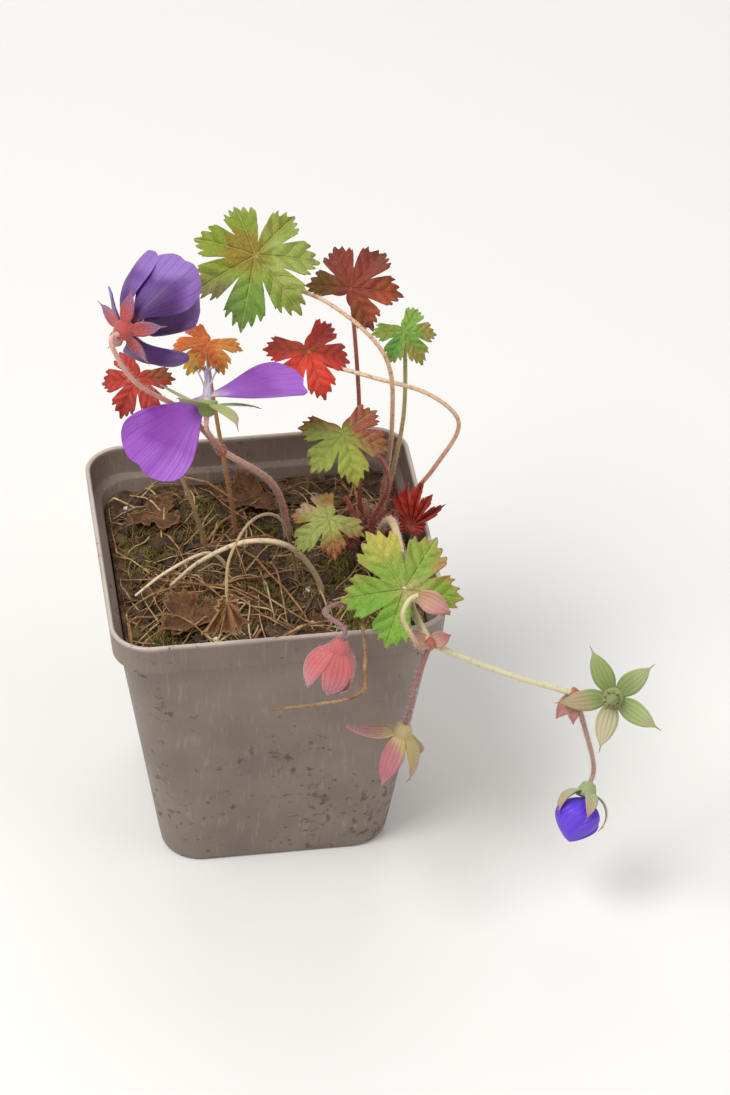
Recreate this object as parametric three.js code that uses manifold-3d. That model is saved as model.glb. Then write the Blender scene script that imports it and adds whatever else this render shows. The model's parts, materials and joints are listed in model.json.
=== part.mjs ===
import * as THREE from 'three';
import { mergeVertices } from 'three/addons/utils/BufferGeometryUtils.js';
import Module from 'manifold-3d';

// A hardy geranium in its square nursery pot. Sizes are in millimetres, +Z is up, -Y is the front,
// and the origin is the centre of the pot's underside.

const wasm = await Module();
wasm.setup();

const gap = 0.3; // clearance between pieces that touch

const pot = {
  height: 88,
  rimHalf: 45, // half the width across the rim
  bandHeight: 9, // the wider band below the rim
  bandStep: 1.6, // how far the band stands out from the wall below it
  baseHalf: 31.5,
  wall: 1.2,
  floor: 1.6,
  cornerRadius: 11,
  drainHoleRadius: 3.6,
  drainHoleReach: 21,
};

const soil = {
  level: 76,
  ripple: 1.4,
  mound: 2.2,
};

// Heights of the lower ends of the stalks that stand in the crown, and of those in the soil.
const crownFoot = 79;
const soilFoot = 68;

const rootstock = {
  centre: new THREE.Vector3(30.5, 6, 77),
  radii: [8, 8.2, 6],
  knobs: 4,
};

const blade = {
  thickness: 0.7,
  stalkRadius: 0.75,
};

const flower = {
  petalLength: 23.5,
  petalWidth: 19,
  petalThickness: 0.7,
  imbrication: 1.3, // how far one edge of a petal lifts and the other sinks
  discRadius: 2.4,
  cupDepth: 4,
};

const point = (x, y, z) => new THREE.Vector3(x, y, z);
const radians = THREE.MathUtils.degToRad;

// A repeatable number between 0 and 1 for a seed and a step.
function chance(seed, step) {
  const value = Math.sin(seed * 12.9898 + step * 78.233) * 43758.5453;
  return value - Math.floor(value);
}

// Solids and meshes

function toSolid(geometry) {
  const bare = geometry.clone();
  bare.deleteAttribute('normal');
  bare.deleteAttribute('uv');
  const merged = mergeVertices(bare, 1e-4);
  const mesh = new wasm.Mesh({
    numProp: 3,
    vertProperties: new Float32Array(merged.getAttribute('position').array),
    triVerts: new Uint32Array(merged.getIndex().array),
  });
  return new wasm.Manifold(mesh);
}

function toGeometry(solid) {
  const mesh = solid.getMesh();
  const geometry = new THREE.BufferGeometry();
  geometry.setAttribute('position', new THREE.BufferAttribute(new Float32Array(mesh.vertProperties), 3));
  geometry.setIndex(Array.from(mesh.triVerts));
  geometry.computeVertexNormals();
  return geometry;
}

function joined(solids) {
  return solids.reduce((whole, next) => whole.add(next));
}

function cutBy(solid, cutters) {
  return cutters.reduce((whole, cutter) => whole.subtract(cutter), solid);
}

// The frame at a place whose Z is the given normal and whose Y leans towards the given tip.
function frameAt(position, normal, tip) {
  const z = normal.clone().normalize();
  const y = tip.clone().addScaledVector(z, -tip.dot(z)).normalize();
  const x = y.clone().cross(z);
  return new THREE.Matrix4().makeBasis(x, y, z).setPosition(position);
}

// A closed shell through rings of equally many points, with a fan across each end.
function loft(rings) {
  const count = rings[0].length;
  const points = rings.flat();
  const index = [];
  for (let ring = 0; ring + 1 < rings.length; ring++) {
    for (let i = 0; i < count; i++) {
      const a = ring * count + i;
      const b = ring * count + ((i + 1) % count);
      index.push(a, b, b + count, a, b + count, a + count);
    }
  }
  const last = (rings.length - 1) * count;
  for (const [start, facesUp] of [[0, false], [last, true]]) {
    const centre = points.length;
    const ring = points.slice(start, start + count);
    points.push(ring.reduce((sum, p) => sum.add(p), point(0, 0, 0)).divideScalar(count));
    for (let i = 0; i < count; i++) {
      const a = start + i;
      const b = start + ((i + 1) % count);
      index.push(centre, facesUp ? a : b, facesUp ? b : a);
    }
  }
  const geometry = new THREE.BufferGeometry().setFromPoints(points);
  geometry.setIndex(index);
  return geometry;
}

// A round stem of one thickness along a smooth curve through the points.
function stem(points, radius, steps = 8, sides = 5) {
  const section = new THREE.Shape();
  for (let i = 0; i < sides; i++) {
    const angle = (i / sides) * 2 * Math.PI;
    const [x, y] = [radius * Math.cos(angle), radius * Math.sin(angle)];
    if (i === 0) section.moveTo(x, y);
    else section.lineTo(x, y);
  }
  section.closePath();
  const extrudePath = new THREE.CatmullRomCurve3(points, false, 'centripetal');
  return toSolid(new THREE.ExtrudeGeometry(section, { steps, extrudePath, bevelEnabled: false }));
}

// The plain hole that a stem's first straight stretch stands in.
function stemHole(points, radius) {
  const along = points[1].clone().sub(points[0]).normalize();
  const start = points[0].clone().addScaledVector(along, -gap);
  const end = points[1].clone().addScaledVector(along, 1.5);
  return stem([start, end], radius + gap + 0.3, 1, 5);
}

function ellipsoid(centre, radii, turns = 6, rows = 4) {
  const geometry = new THREE.SphereGeometry(1, turns, rows);
  geometry.scale(...radii);
  geometry.translate(centre.x, centre.y, centre.z);
  return toSolid(geometry);
}

// A thin blade: the outline is split into rings about its middle, alike on both faces. The surface
// function bends the flat place (x, y), and the thickness is laid half to each side of it.
function thinBlade(outline, middle, surface, thickness, ringShares = [0.55, 1]) {
  const flat = [middle];
  for (const share of ringShares) {
    for (const [x, y] of outline) {
      flat.push([middle[0] + (x - middle[0]) * share, middle[1] + (y - middle[1]) * share]);
    }
  }
  const faces = [];
  for (const side of [0.5, -0.5]) {
    for (const [x, y] of flat) {
      const at = surface(x, y);
      const alongX = surface(x + 0.05, y).sub(at);
      const alongY = surface(x, y + 0.05).sub(at);
      faces.push(at.addScaledVector(alongX.cross(alongY).normalize(), side * thickness));
    }
  }
  const count = outline.length;
  const under = flat.length;
  const index = [];
  const both = (a, b, c) => index.push(a, b, c, a + under, c + under, b + under);
  for (let i = 0; i < count; i++) {
    const j = (i + 1) % count;
    both(0, 1 + i, 1 + j);
    for (let ring = 1; ring < ringShares.length; ring++) {
      const inner = 1 + (ring - 1) * count;
      const outer = inner + count;
      both(inner + i, outer + i, outer + j);
      both(inner + i, outer + j, inner + j);
    }
    const edge = 1 + (ringShares.length - 1) * count;
    index.push(edge + under + i, edge + under + j, edge + j);
    index.push(edge + under + i, edge + j, edge + i);
  }
  const geometry = new THREE.BufferGeometry().setFromPoints(faces);
  geometry.setIndex(index);
  return geometry;
}

// Pot and soil

// The points of a rounded square at one height, counterclockwise, with extra ones along the sides.
function roundedSquare(half, cornerRadius, z, perCorner = 3, perSide = 0) {
  const points = [];
  const reach = half - cornerRadius;
  for (let corner = 0; corner < 4; corner++) {
    const quarter = (corner * Math.PI) / 2;
    const centre = point(reach, reach, z).applyAxisAngle(point(0, 0, 1), quarter);
    for (let i = 0; i <= perCorner; i++) {
      const angle = quarter + (i / perCorner) * (Math.PI / 2);
      points.push(point(Math.cos(angle), Math.sin(angle), 0).multiplyScalar(cornerRadius).add(centre));
    }
    const from = points[points.length - 1];
    const next = point(-reach, half, z).applyAxisAngle(point(0, 0, 1), quarter);
    for (let i = 1; i <= perSide; i++) {
      points.push(from.clone().lerp(next, i / (perSide + 1)));
    }
  }
  return points;
}

// Half the pot's inner width at a height: tapered below the ledge, upright beside the band.
function innerHalf(z) {
  const ledge = pot.height - pot.bandHeight;
  const top = pot.rimHalf - pot.bandStep - 2 * pot.wall;
  const bottom = pot.baseHalf - pot.wall;
  return z > ledge ? pot.rimHalf - pot.wall - 0.6 : bottom + ((top - bottom) * z) / ledge;
}

function makePot() {
  const ledge = pot.height - pot.bandHeight;
  const r = pot.cornerRadius;
  const neck = innerHalf(ledge) + pot.wall;
  const rings = [
    roundedSquare(pot.baseHalf - 1.2, r - 1.2, 0),
    roundedSquare(pot.baseHalf, r, 1.2),
    roundedSquare(neck, r, ledge - 1.2),
    roundedSquare(pot.rimHalf - 0.6, r, ledge),
    roundedSquare(pot.rimHalf, r, pot.height - 0.5),
    roundedSquare(pot.rimHalf - 0.4, r - 0.4, pot.height),
    roundedSquare(pot.rimHalf - pot.wall, r - pot.wall, pot.height),
    roundedSquare(pot.rimHalf - pot.wall - 0.6, r - pot.wall, ledge + 1.2),
    roundedSquare(innerHalf(ledge), r - pot.wall, ledge),
    roundedSquare(innerHalf(pot.floor), r - pot.wall, pot.floor),
  ];
  const holes = [];
  for (let i = 0; i < 8; i++) {
    const angle = (i * Math.PI) / 4;
    const reach = i % 2 ? pot.drainHoleReach * 1.15 : pot.drainHoleReach;
    const hole = new THREE.CylinderGeometry(pot.drainHoleRadius, pot.drainHoleRadius, 8, 10);
    hole.rotateX(Math.PI / 2);
    hole.translate(reach * Math.cos(angle), reach * Math.sin(angle), 0);
    holes.push(toSolid(hole));
  }
  return cutBy(toSolid(loft(rings)), holes);
}

function soilHeight(x, y) {
  const [cx, cy] = [rootstock.centre.x, rootstock.centre.y];
  const toCrown = (x - cx) ** 2 + (y - cy) ** 2;
  return soil.level + soil.ripple * Math.sin(0.11 * x + 0.8) * Math.cos(0.13 * y - 0.4)
    + 0.7 * Math.sin(0.33 * x + 0.21 * y) + soil.mound * Math.exp(-toCrown / 260);
}

function makeSoil() {
  const low = pot.floor + gap;
  const outline = (z) => roundedSquare(innerHalf(z) - gap, pot.cornerRadius - pot.wall, z, 3, 3);
  const rings = [outline(low), outline(soil.level * 0.5)];
  const edge = outline(soil.level);
  for (const share of [1, 0.86, 0.6, 0.32]) {
    rings.push(edge.map((p) => point(p.x * share, p.y * share, soilHeight(p.x * share, p.y * share))));
  }
  return toSolid(loft(rings));
}

// The crown of the plant: one knobbly body, grown by the given amount for the hollow around it.
function makeRootstock(grown = 0) {
  const { centre, radii, knobs } = rootstock;
  const parts = [ellipsoid(centre, radii.map((r) => r * 0.86 + grown), 8, 5)];
  for (let i = 0; i < knobs; i++) {
    const angle = (i / knobs) * 2 * Math.PI + 0.4;
    const reach = 0.5 + 0.12 * chance(3, i);
    const place = centre.clone().add(
      point(radii[0] * reach * Math.cos(angle), radii[1] * reach * Math.sin(angle), radii[2] * 0.28));
    parts.push(ellipsoid(place, [3.8 + grown, 3.6 + grown, 4.2 + grown]));
  }
  return joined(parts);
}

// Leaves

// One lobe of a leaf as shares of its length, and of the half angle between lobes.
const lobeProfile = [
  [0.56, -0.84], [0.87, -0.78], [0.77, -0.4], [1, 0], [0.77, 0.4], [0.87, 0.78], [0.56, 0.84],
];

function leafOutline({ radius, lobes, spread, cut }) {
  const points = [];
  const middleLobe = (lobes - 1) / 2;
  for (let i = 0; i < lobes; i++) {
    const fromTip = i - middleLobe;
    const axis = radians(90 + spread * fromTip);
    const length = radius * (1 - 0.07 * Math.abs(fromTip));
    points.push([cut * radius, axis - radians(spread) / 2]);
    for (const [share, turn] of lobeProfile) {
      points.push([length * share, axis + (turn * radians(spread)) / 2]);
    }
  }
  const back = radians(90 + (spread * lobes) / 2);
  points.push([cut * radius, back], [0.1 * radius, radians(270)]);
  return points.map(([r, angle]) => [r * Math.cos(angle), r * Math.sin(angle)]);
}

// Each lobe is creased along its midrib and droops towards its tip, one more than the next.
function leafSurface({ radius, spread, droop, crease, seed }) {
  return (x, y) => {
    const share = Math.hypot(x, y) / radius;
    const turn = (Math.atan2(y, x) - Math.PI / 2 + 4 * Math.PI + Math.PI) % (2 * Math.PI) - Math.PI;
    const place = turn / radians(spread);
    const lobe = Math.round(place);
    const offMidrib = Math.min(1, 2 * Math.abs(place - lobe));
    const sag = (chance(seed, lobe) - 0.5) * 0.35 * (1 - offMidrib ** 2);
    return point(x, y, radius * share * (crease * offMidrib - (droop - sag) * share));
  };
}

// A leaf is one body: the lobed blade and the stalk that comes up to its middle from below.
function makeLeaf(leaf) {
  const shape = { spread: 58, cut: 0.36, droop: 0.22, crease: 0.16, lobes: 5, ...leaf };
  const geometry = thinBlade(leafOutline(shape), [0, 0], leafSurface(shape), blade.thickness);
  geometry.applyMatrix4(frameAt(leaf.centre, leaf.normal, leaf.tip));
  return toSolid(geometry).add(stem([...leaf.stalk, leaf.centre], blade.stalkRadius, leaf.steps ?? 7, 4));
}

const leaves = {
  leaf_green_high: {
    color: '#6f9a45',
    centre: point(1.5, 25, 162), normal: point(-0.05, -0.6, 0.78), tip: point(-0.25, -0.7, -0.5),
    radius: 20.5, seed: 1, spread: 50, lobes: 7, droop: 0.26,
    stalk: [point(33, 9, crownFoot), point(33.4, 8.8, 87), point(36, 7, 116), point(34, 9, 138),
      point(20, 18, 150), point(6, 25, 154)],
    steps: 9,
  },
  leaf_bronze: {
    color: '#6e3524',
    centre: point(28, 31, 145), normal: point(-0.2, -0.55, 0.8), tip: point(0.5, 0.3, 0.6),
    radius: 15, seed: 2,
    stalk: [point(28, 11.5, crownFoot), point(28.2, 12.5, 86), point(29, 21, 115), point(28.5, 31, 138)],
  },
  leaf_red: {
    color: '#c23a2c',
    centre: point(14.5, 19, 134), normal: point(0.1, -0.6, 0.75), tip: point(0.3, -0.6, -0.7),
    radius: 13.5, seed: 3,
    stalk: [point(36, 6.5, crownFoot), point(37.4, 6.5, 86), point(48, 6, 102), point(54, 6, 116),
      point(47, 8, 124), point(30, 14, 128), point(17, 20, 130)],
    steps: 11,
  },
  leaf_orange: {
    color: '#d9762c',
    centre: point(-11, 30, 131), normal: point(0.05, -0.1, 1), tip: point(-0.6, -0.8, 0),
    radius: 11, seed: 4,
    stalk: [point(-6, 14, soilFoot), point(-6, 14, 80), point(-9, 20, 105), point(-11, 29, 124)],
  },
  leaf_scarlet_left: {
    color: '#c8402f',
    centre: point(-31, 21, 128), normal: point(-0.25, -0.6, 0.75), tip: point(-0.5, -0.5, -0.6),
    radius: 11.5, seed: 5,
    stalk: [point(-15, 5, soilFoot), point(-15, 5, 80), point(-20, 8, 100), point(-30, 20, 122)],
  },
  leaf_olive: {
    color: '#8a9a45',
    centre: point(21.5, -2, 121), normal: point(-0.05, -0.5, 0.87), tip: point(0.15, -0.75, -0.5),
    radius: 14, seed: 6,
    stalk: [point(28.4, 2.6, crownFoot), point(29.6, 1.6, 87), point(34, -2, 104), point(30, -1.5, 114),
      point(23.5, 0, 117)],
    steps: 8,
  },
  leaf_olive_low: {
    color: '#8f9e4c',
    centre: point(16, -15, 103), normal: point(-0.1, -0.35, 0.93), tip: point(-0.8, -0.5, -0.1),
    radius: 12, seed: 7,
    stalk: [point(25.2, 3.8, crownFoot), point(24.8, 1.6, 86), point(23.5, -7, 96), point(18, -13, 97.5)],
  },
  leaf_small_green: {
    color: '#5f9448',
    centre: point(40.5, 18, 139), normal: point(0.1, -0.5, 0.85), tip: point(0.4, -0.6, -0.5),
    radius: 10, seed: 8,
    stalk: [point(34.6, 11.2, crownFoot), point(35.4, 12, 86), point(40.5, 16, 112), point(41, 19, 134)],
  },
  leaf_red_young: {
    color: '#a83226',
    centre: point(40, -5, 90.5), normal: point(-0.6, -0.75, 0.25), tip: point(0.14, 0.1, 1),
    radius: 13.5, seed: 9, spread: 23, crease: 0.3, droop: 0.05,
    stalk: [point(34.4, 2.6, crownFoot), point(35.2, 1.9, 84), point(38, -1.8, 87),
      point(39.6, -4.1, 88.8)],
  },
};

const trailingLeaf = {
  color: '#7fa04a',
  centre: point(31, -50, 105), normal: point(-0.05, -0.7, 0.7), tip: point(-0.46, 0.63, 0.63),
  radius: 18, spread: 65, seed: 10,
  stalk: [point(32.4, -37.6, 105.4), point(32.6, -39.6, 108.4), point(32, -46, 106.6)],
  steps: 5,
};

// Flowers, calyces and buds. Each is made about its own axis, +Z, from the top of its cup.

// Blades such as petals stand in a ring and lean away from the axis, by leanBase at the foot and by
// leanTip at the tip. They are wrapped round the axis, with one edge lifted and the other sunk.
function leaningSurface({ length, width, leanBase, leanTip, footRadius, foot = 0, lift = 0 }) {
  const [from, turn] = [radians(leanBase), radians(leanTip - leanBase) || 1e-6];
  return (x, y) => {
    const lean = from + (turn * y) / length;
    const out = footRadius + (length / turn) * (Math.cos(from) - Math.cos(lean));
    const up = foot + (length / turn) * (Math.sin(lean) - Math.sin(from));
    const around = x / Math.max(out, footRadius);
    const raised = (lift * x) / (width / 2);
    const reach = out - raised * Math.cos(lean);
    return point(reach * Math.sin(around), reach * Math.cos(around), up + raised * Math.sin(lean));
  };
}

// Half outlines as shares of half the width and of the length, from foot to tip.
const petalHalf = [[0.1, 0], [0.22, 0.2], [0.6, 0.43], [0.96, 0.66], [0.93, 0.85], [0.5, 0.99], [0, 0.95]];
const sepalHalf = [[0.45, 0], [0.95, 0.3], [0.9, 0.62], [0, 1]];

// The points of a half outline and of its mirror image, in one round from the foot.
function mirroredOutline(half, width, length) {
  const right = half.map(([x, y]) => [(x * width) / 2, y * length]);
  const left = right.filter(([x]) => x > 0).map(([x, y]) => [-x, y]).reverse();
  return [...right, ...left];
}

// A ring of blades, one for each pair of leans at foot and tip. An offset of 1 turns it by one blade.
function ringOfBlades(half, leans, shape, thickness, rings = [1]) {
  const outline = mirroredOutline(half, shape.width, shape.length);
  return joined(leans.map(([leanBase, leanTip], i) => {
    const surface = leaningSurface({ ...shape, leanBase, leanTip });
    const geometry = thinBlade(outline, [0, shape.length * 0.6], surface, thickness, rings);
    geometry.rotateZ(((i + (shape.offset ?? 0)) / leans.length) * 2 * Math.PI);
    return toSolid(geometry);
  }));
}

// A turned piece, such as a cup, from its half profile as [radius, height] pairs.
function turned(profile, sides = 8) {
  const geometry = new THREE.LatheGeometry(profile.map(([r, z]) => new THREE.Vector2(r, z)), sides);
  geometry.rotateX(Math.PI / 2);
  return toSolid(geometry);
}

// The frame at the top of a flower's cup, whose Z runs along the flower's axis.
function flowerFrame({ origin, axis }) {
  const upright = Math.abs(axis.clone().normalize().z) > 0.9;
  return frameAt(origin, axis, upright ? point(0, -1, 0) : point(0, 0, 1));
}

function placed(solid, frame) {
  return toSolid(toGeometry(solid).applyMatrix4(frame));
}

// The green cup behind a flower, with five pointed sepals and a socket for the pedicel.
function makeCalyx({ sepalLength, sepalWidth, leans, core = 0, offset = 0 }) {
  const depth = flower.cupDepth;
  const socket = stemHole([point(0, 0, 2 - depth), point(0, 0, -3 - depth)], blade.stalkRadius);
  const cup = turned([[0, -depth], [1.7, -depth], [2.7, -0.8], [2.7, 0], [0, 0]]);
  const shape = { length: sepalLength, width: sepalWidth, footRadius: 2, foot: -1.2, offset };
  const curled = leans.some(([leanBase, leanTip]) => Math.abs(leanTip - leanBase) > 30);
  const parts = [cup, ringOfBlades(sepalHalf, leans, shape, 0.7, curled ? [0.5, 1] : [1])];
  if (core) parts.push(ellipsoid(point(0, 0, core * 0.7), [core * 0.6, core * 0.6, core], 6, 4));
  return joined(parts).subtract(socket);
}

// Five petals that overlap in turn, on a small disc with its underside just above the cup.
function ringOfPetals({ leans, offset }) {
  const shape = {
    length: flower.petalLength, width: flower.petalWidth, offset,
    footRadius: 1.7, foot: gap + 0.7, lift: flower.imbrication,
  };
  const petals = ringOfBlades(petalHalf, leans, shape, flower.petalThickness, [0.55, 1]);
  const disc = turned([[0, gap], [flower.discRadius, gap], [flower.discRadius, 1.7], [0, 1.7]]);
  return petals.add(disc);
}

// The flower that has two petals left, each with its own direction and face, as one body with its
// calyx, since a petal lies across the sepals.
function makeLowFlower({ origin, axis, petals }) {
  const length = flower.petalLength + 3;
  const shape = mirroredOutline(petalHalf, flower.petalWidth + 2, length);
  const parts = petals.map(({ towards, face, arch }) => {
    const surface = (x, y) => point(x, y, arch * (y / length) ** 2 * length + 0.02 * x * x);
    const geometry = thinBlade(shape, [0, length * 0.6], surface, flower.petalThickness, [0.6, 1]);
    const foot = origin.clone().addScaledVector(axis.clone().normalize(), 1.4);
    geometry.applyMatrix4(frameAt(foot, face, towards));
    return toSolid(geometry);
  });
  const disc = turned([[0, -0.5], [flower.discRadius, -0.5], [flower.discRadius, 2.4], [0, 2.4]]);
  return joined([placed(disc.add(makeCalyx(sepals.reflexed)), flowerFrame({ origin, axis })), ...parts]);
}

// The pistil with its five stamens, standing on the petals' disc.
function flowerCentre(foot) {
  const parts = [turned([[0, foot], [1.1, foot], [0.7, foot + 6], [0, foot + 6.6]], 6)];
  for (let i = 0; i < 5; i++) {
    const angle = (i / 5) * 2 * Math.PI;
    const out = (r, z) => point(r * Math.cos(angle), r * Math.sin(angle), z);
    parts.push(stem([out(0.4, foot + 0.5), out(1.6, foot + 3), out(3, foot + 5.6)], 0.4, 2, 3));
    parts.push(ellipsoid(out(3, foot + 5.8), [0.75, 0.75, 1.2], 4, 3));
  }
  return joined(parts);
}

// A closed bud of rolled petals: an egg shape with five ridges that wind round it.
function rolledPetals({ radius, length, from }) {
  const rows = 9;
  const around = 15;
  const rings = [];
  for (let row = 0; row < rows; row++) {
    const share = (row + 0.5) / rows;
    const height = from + (length * row) / (rows - 1);
    const wide = radius * Math.sin(Math.PI * share ** 0.85) ** 0.72;
    rings.push(Array.from({ length: around }, (_, i) => {
      const angle = (i / around) * 2 * Math.PI;
      const r = wide * (1 + 0.07 * Math.cos(5 * (angle - 1.6 * share)));
      return point(r * Math.cos(angle), r * Math.sin(angle), height);
    }));
  }
  return toSolid(loft(rings));
}

const sideFlower = {
  origin: point(-35.5, -3, 161.5),
  axis: point(0.66, 0.74, -0.1),
  petals: { leans: [[54, 26], [33, 0], [80, 10], [56, 30], [60, 0]], offset: 0.3 },
};
const lowFlower = {
  origin: point(-15, -4, 137),
  axis: point(0.1, 0.6, 0.8),
  petals: [
    { towards: point(-0.75, -0.35, -0.55), face: point(-0.1, -0.75, 0.65), arch: -0.05 },
    { towards: point(1, 0.1, 0.32), face: point(-0.1, 0.15, 0.98), arch: -0.1 },
  ],
};
const upperCalyx = { origin: point(12.5, -58, 92.8), axis: point(-0.28, 0, -0.96) };
const lowerCalyx = { origin: point(29.5, -58, 62), axis: point(-0.3, -0.05, -0.95) };
const starCalyx = { origin: point(84.7, -65.5, 75.3), axis: point(-0.26, -0.82, 0.51) };
const bud = {
  origin: point(79.6, -60.5, 37),
  axis: point(-0.42, -0.62, -0.66),
  petals: { radius: 6.1, length: 12.5, from: gap },
};

// Five sepals that lean alike.
const allFive = (leanBase, leanTip) => Array(5).fill([leanBase, leanTip]);
const sepals = {
  open: { sepalLength: 8.5, sepalWidth: 4, leans: allFive(66, 76) },
  reflexed: {
    sepalLength: 12.5, sepalWidth: 6.2, offset: 0.6,
    leans: [[80, 150], [76, 100], [76, 100], [62, 70], [76, 96]],
  },
  closed: { sepalLength: 15, sepalWidth: 7, leans: allFive(56, -36), core: 5.5 },
  halfOpen: {
    sepalLength: 14, sepalWidth: 5.8, core: 4.5, offset: 0.3,
    leans: [[56, 8], [62, 112], [60, 40], [58, 22], [54, -6]],
  },
  star: { sepalLength: 12.5, sepalWidth: 5.8, leans: allFive(62, 80), core: 2.6, offset: 0.39 },
  bud: { sepalLength: 10, sepalWidth: 3.6, leans: allFive(84, -14), offset: 0.5 },
};

const behindCup = (part, back) => part.origin.clone()
  .addScaledVector(part.axis.clone().normalize(), -back);

// The last stretch of a pedicel runs along the axis of the cup that it carries.
const pedicelEnd = (part) => [behindCup(part, flower.cupDepth + 3), behindCup(part, flower.cupDepth - 2)];

const flowerFork = point(-11, -1, 118);
const flowerStalk = {
  main: [point(8, 12, soilFoot), point(8, 12, 80), point(4, 8, 98), flowerFork],
  toSide: [flowerFork, point(-20, -1, 131), point(-35, -8, 149), ...pedicelEnd(sideFlower)],
  toLow: [flowerFork, point(-14, -6, 126), ...pedicelEnd(lowFlower)],
  radius: 1,
  thinRadius: 0.75,
};

const node = { trailing: point(32.4, -37, 105), lower: point(37, -57, 92), end: point(75, -62, 75) };
const trailing = {
  main: [point(31.4, 0.6, crownFoot), point(31.8, -1.6, 87), point(33, -14, 100), node.trailing,
    point(33, -48, 99), node.lower],
  runner: [node.lower, point(56, -60, 82.6), node.end],
  toUpper: [point(33, -47, 99.5), point(24, -43.5, 98), point(10.5, -47, 98), ...pedicelEnd(upperCalyx)],
  toLowerCalyx: [node.lower, point(33.5, -58, 80), ...pedicelEnd(lowerCalyx)],
  youngLeaf: [node.lower, point(34, -60.5, 94), point(31.8, -61, 97.9), point(29.4, -58.5, 103.2),
    point(31.5, -55.8, 106.3), point(33.9, -55, 107)],
  toStar: [node.end, point(80, -60, 71.5), ...pedicelEnd(starCalyx)],
  toBud: [node.end, point(78.5, -61.5, 62), ...pedicelEnd(bud)],
  dryStyle: [point(24, -43.5, 98), point(20.5, -49, 95), point(19.8, -57, 92), point(19.2, -62, 87),
    point(18.5, -64, 84), point(14, -65, 82.3), point(5, -65, 81.3), point(-8.3, -63, 79)],
  radius: 1.1,
  thinRadius: 0.75,
};

// Small pointed bracts that stand round a fork of the stem, folded upwards along their midribs.
function bracts(centre, directions, length, width, fold = 0.06) {
  const outline = mirroredOutline(sepalHalf, width, length);
  const surface = (x, y) => point(x, y, 0.02 * y * y + fold * x * x);
  return directions.map(({ towards, face }) => {
    const geometry = thinBlade(outline, [0, length * 0.5], surface, 0.7, [1]);
    geometry.applyMatrix4(frameAt(centre, face, towards));
    return toSolid(geometry);
  });
}

function makeTrailingStem() {
  const { main, runner, youngLeaf, radius, thinRadius } = trailing;
  const { toUpper, toLowerCalyx, toStar, toBud, dryStyle } = trailing;
  const upBracts = [
    { towards: point(0.75, -0.3, 0.6), face: point(-0.4, -0.8, 0.4) },
    { towards: point(-0.7, -0.3, 0.6), face: point(0.1, -0.8, 0.6) },
  ];
  const youngBlade = [{ towards: point(0.8, -0.3, -0.4), face: point(-0.1, -0.8, 0.6) }];
  const endBracts = [
    { towards: point(-0.6, -0.3, -0.7), face: point(-0.3, -0.8, 0.5) },
    { towards: point(-0.1, -0.4, -0.9), face: point(0, -0.9, 0.4) },
  ];
  return joined([
    stem(main, radius, 10),
    stem(runner, radius * 0.85, 4),
    stem(youngLeaf, thinRadius, 9, 4),
    ...bracts(youngLeaf[youngLeaf.length - 1], youngBlade, 9.5, 5.6, 0.12),
    stem(toUpper, thinRadius, 8, 4),
    stem(toLowerCalyx, thinRadius, 6, 4),
    stem(toStar, thinRadius, 6, 4),
    stem(toBud, thinRadius, 7, 4),
    stem(dryStyle, 0.6, 9, 4),
    ellipsoid(node.trailing, [2.4, 2.4, 2.2]),
    ellipsoid(node.lower, [2.2, 2, 2.2]),
    ellipsoid(node.end, [2, 1.8, 1.8]),
    ...bracts(node.lower, upBracts, 6.5, 4.4),
    ...bracts(node.end, endBracts, 8, 4.2),
  ]);
}

// Dead pieces

const dryLeaf = {
  centre: point(-15.5, -50, 106), normal: point(0.2, -1, 0.15), tip: point(-0.15, -0.05, -1),
  radius: 11, seed: 21, lobes: 3, spread: 36, crease: 0.5, droop: 0.1,
  stalk: [point(8, -8, soilFoot), point(8, -8, 80), point(2, -19, 108), point(-8, -36, 120),
    point(-14.5, -47, 117), point(-15.5, -50, 110)],
  steps: 13,
};

const dryStalks = {
  dry_stalk_long: [point(14, -13, 69), point(14, -13, 79), point(5, -15, 95), point(-6, -15.5, 98),
    point(-18, -12, 90), point(-26, -8, 79.2)],
  dry_stalk_short: [point(-10, -3, 69), point(-10, -3, 79), point(-15, -4, 86), point(-27, -8, 84),
    point(-36, -11, 79)],
};

const litterLeaves = {
  litter_leaf_1: { at: [-22, -24], turn: 0.4, radius: 11, seed: 31 },
  litter_leaf_2: { at: [1, 31], turn: 2.1, radius: 10, seed: 32 },
  litter_leaf_3: { at: [-28, 24], turn: 4, radius: 9, seed: 33 },
};

// A crumpled dead leaf, dropped on the soil until its lowest places rest on it.
function makeLitterLeaf({ at, turn, radius, seed }, ground) {
  const shape = { radius, lobes: 3, spread: 95, cut: 0.5, seed };
  const surface = (x, y) => {
    const share = Math.hypot(x, y) / radius;
    const curl = 0.28 * share ** 2 + 0.1 * Math.sin(0.55 * x + seed) * Math.cos(0.5 * y);
    return point(x, y, radius * curl);
  };
  const geometry = thinBlade(leafOutline(shape), [0, 0], surface, blade.thickness);
  geometry.rotateZ(turn);
  geometry.translate(at[0], at[1], 0);
  const ray = new THREE.Raycaster();
  const places = geometry.getAttribute('position');
  let lift = -Infinity;
  for (let i = 0; i < places.count; i++) {
    const place = point().fromBufferAttribute(places, i);
    ray.set(point(place.x, place.y, 200), point(0, 0, -1));
    const hit = ray.intersectObject(ground)[0];
    if (hit) lift = Math.max(lift, hit.point.z - place.z);
  }
  geometry.translate(0, 0, lift + gap);
  return toSolid(geometry);
}

// The whole plant

const group = new THREE.Group();

function addPiece(name, solid, { color, roughness = 0.6 }, parent = group) {
  const mesh = new THREE.Mesh(
    toGeometry(solid),
    new THREE.MeshStandardMaterial({ color, roughness, metalness: 0 }),
  );
  mesh.name = name;
  parent.add(mesh);
  return mesh;
}

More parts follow.
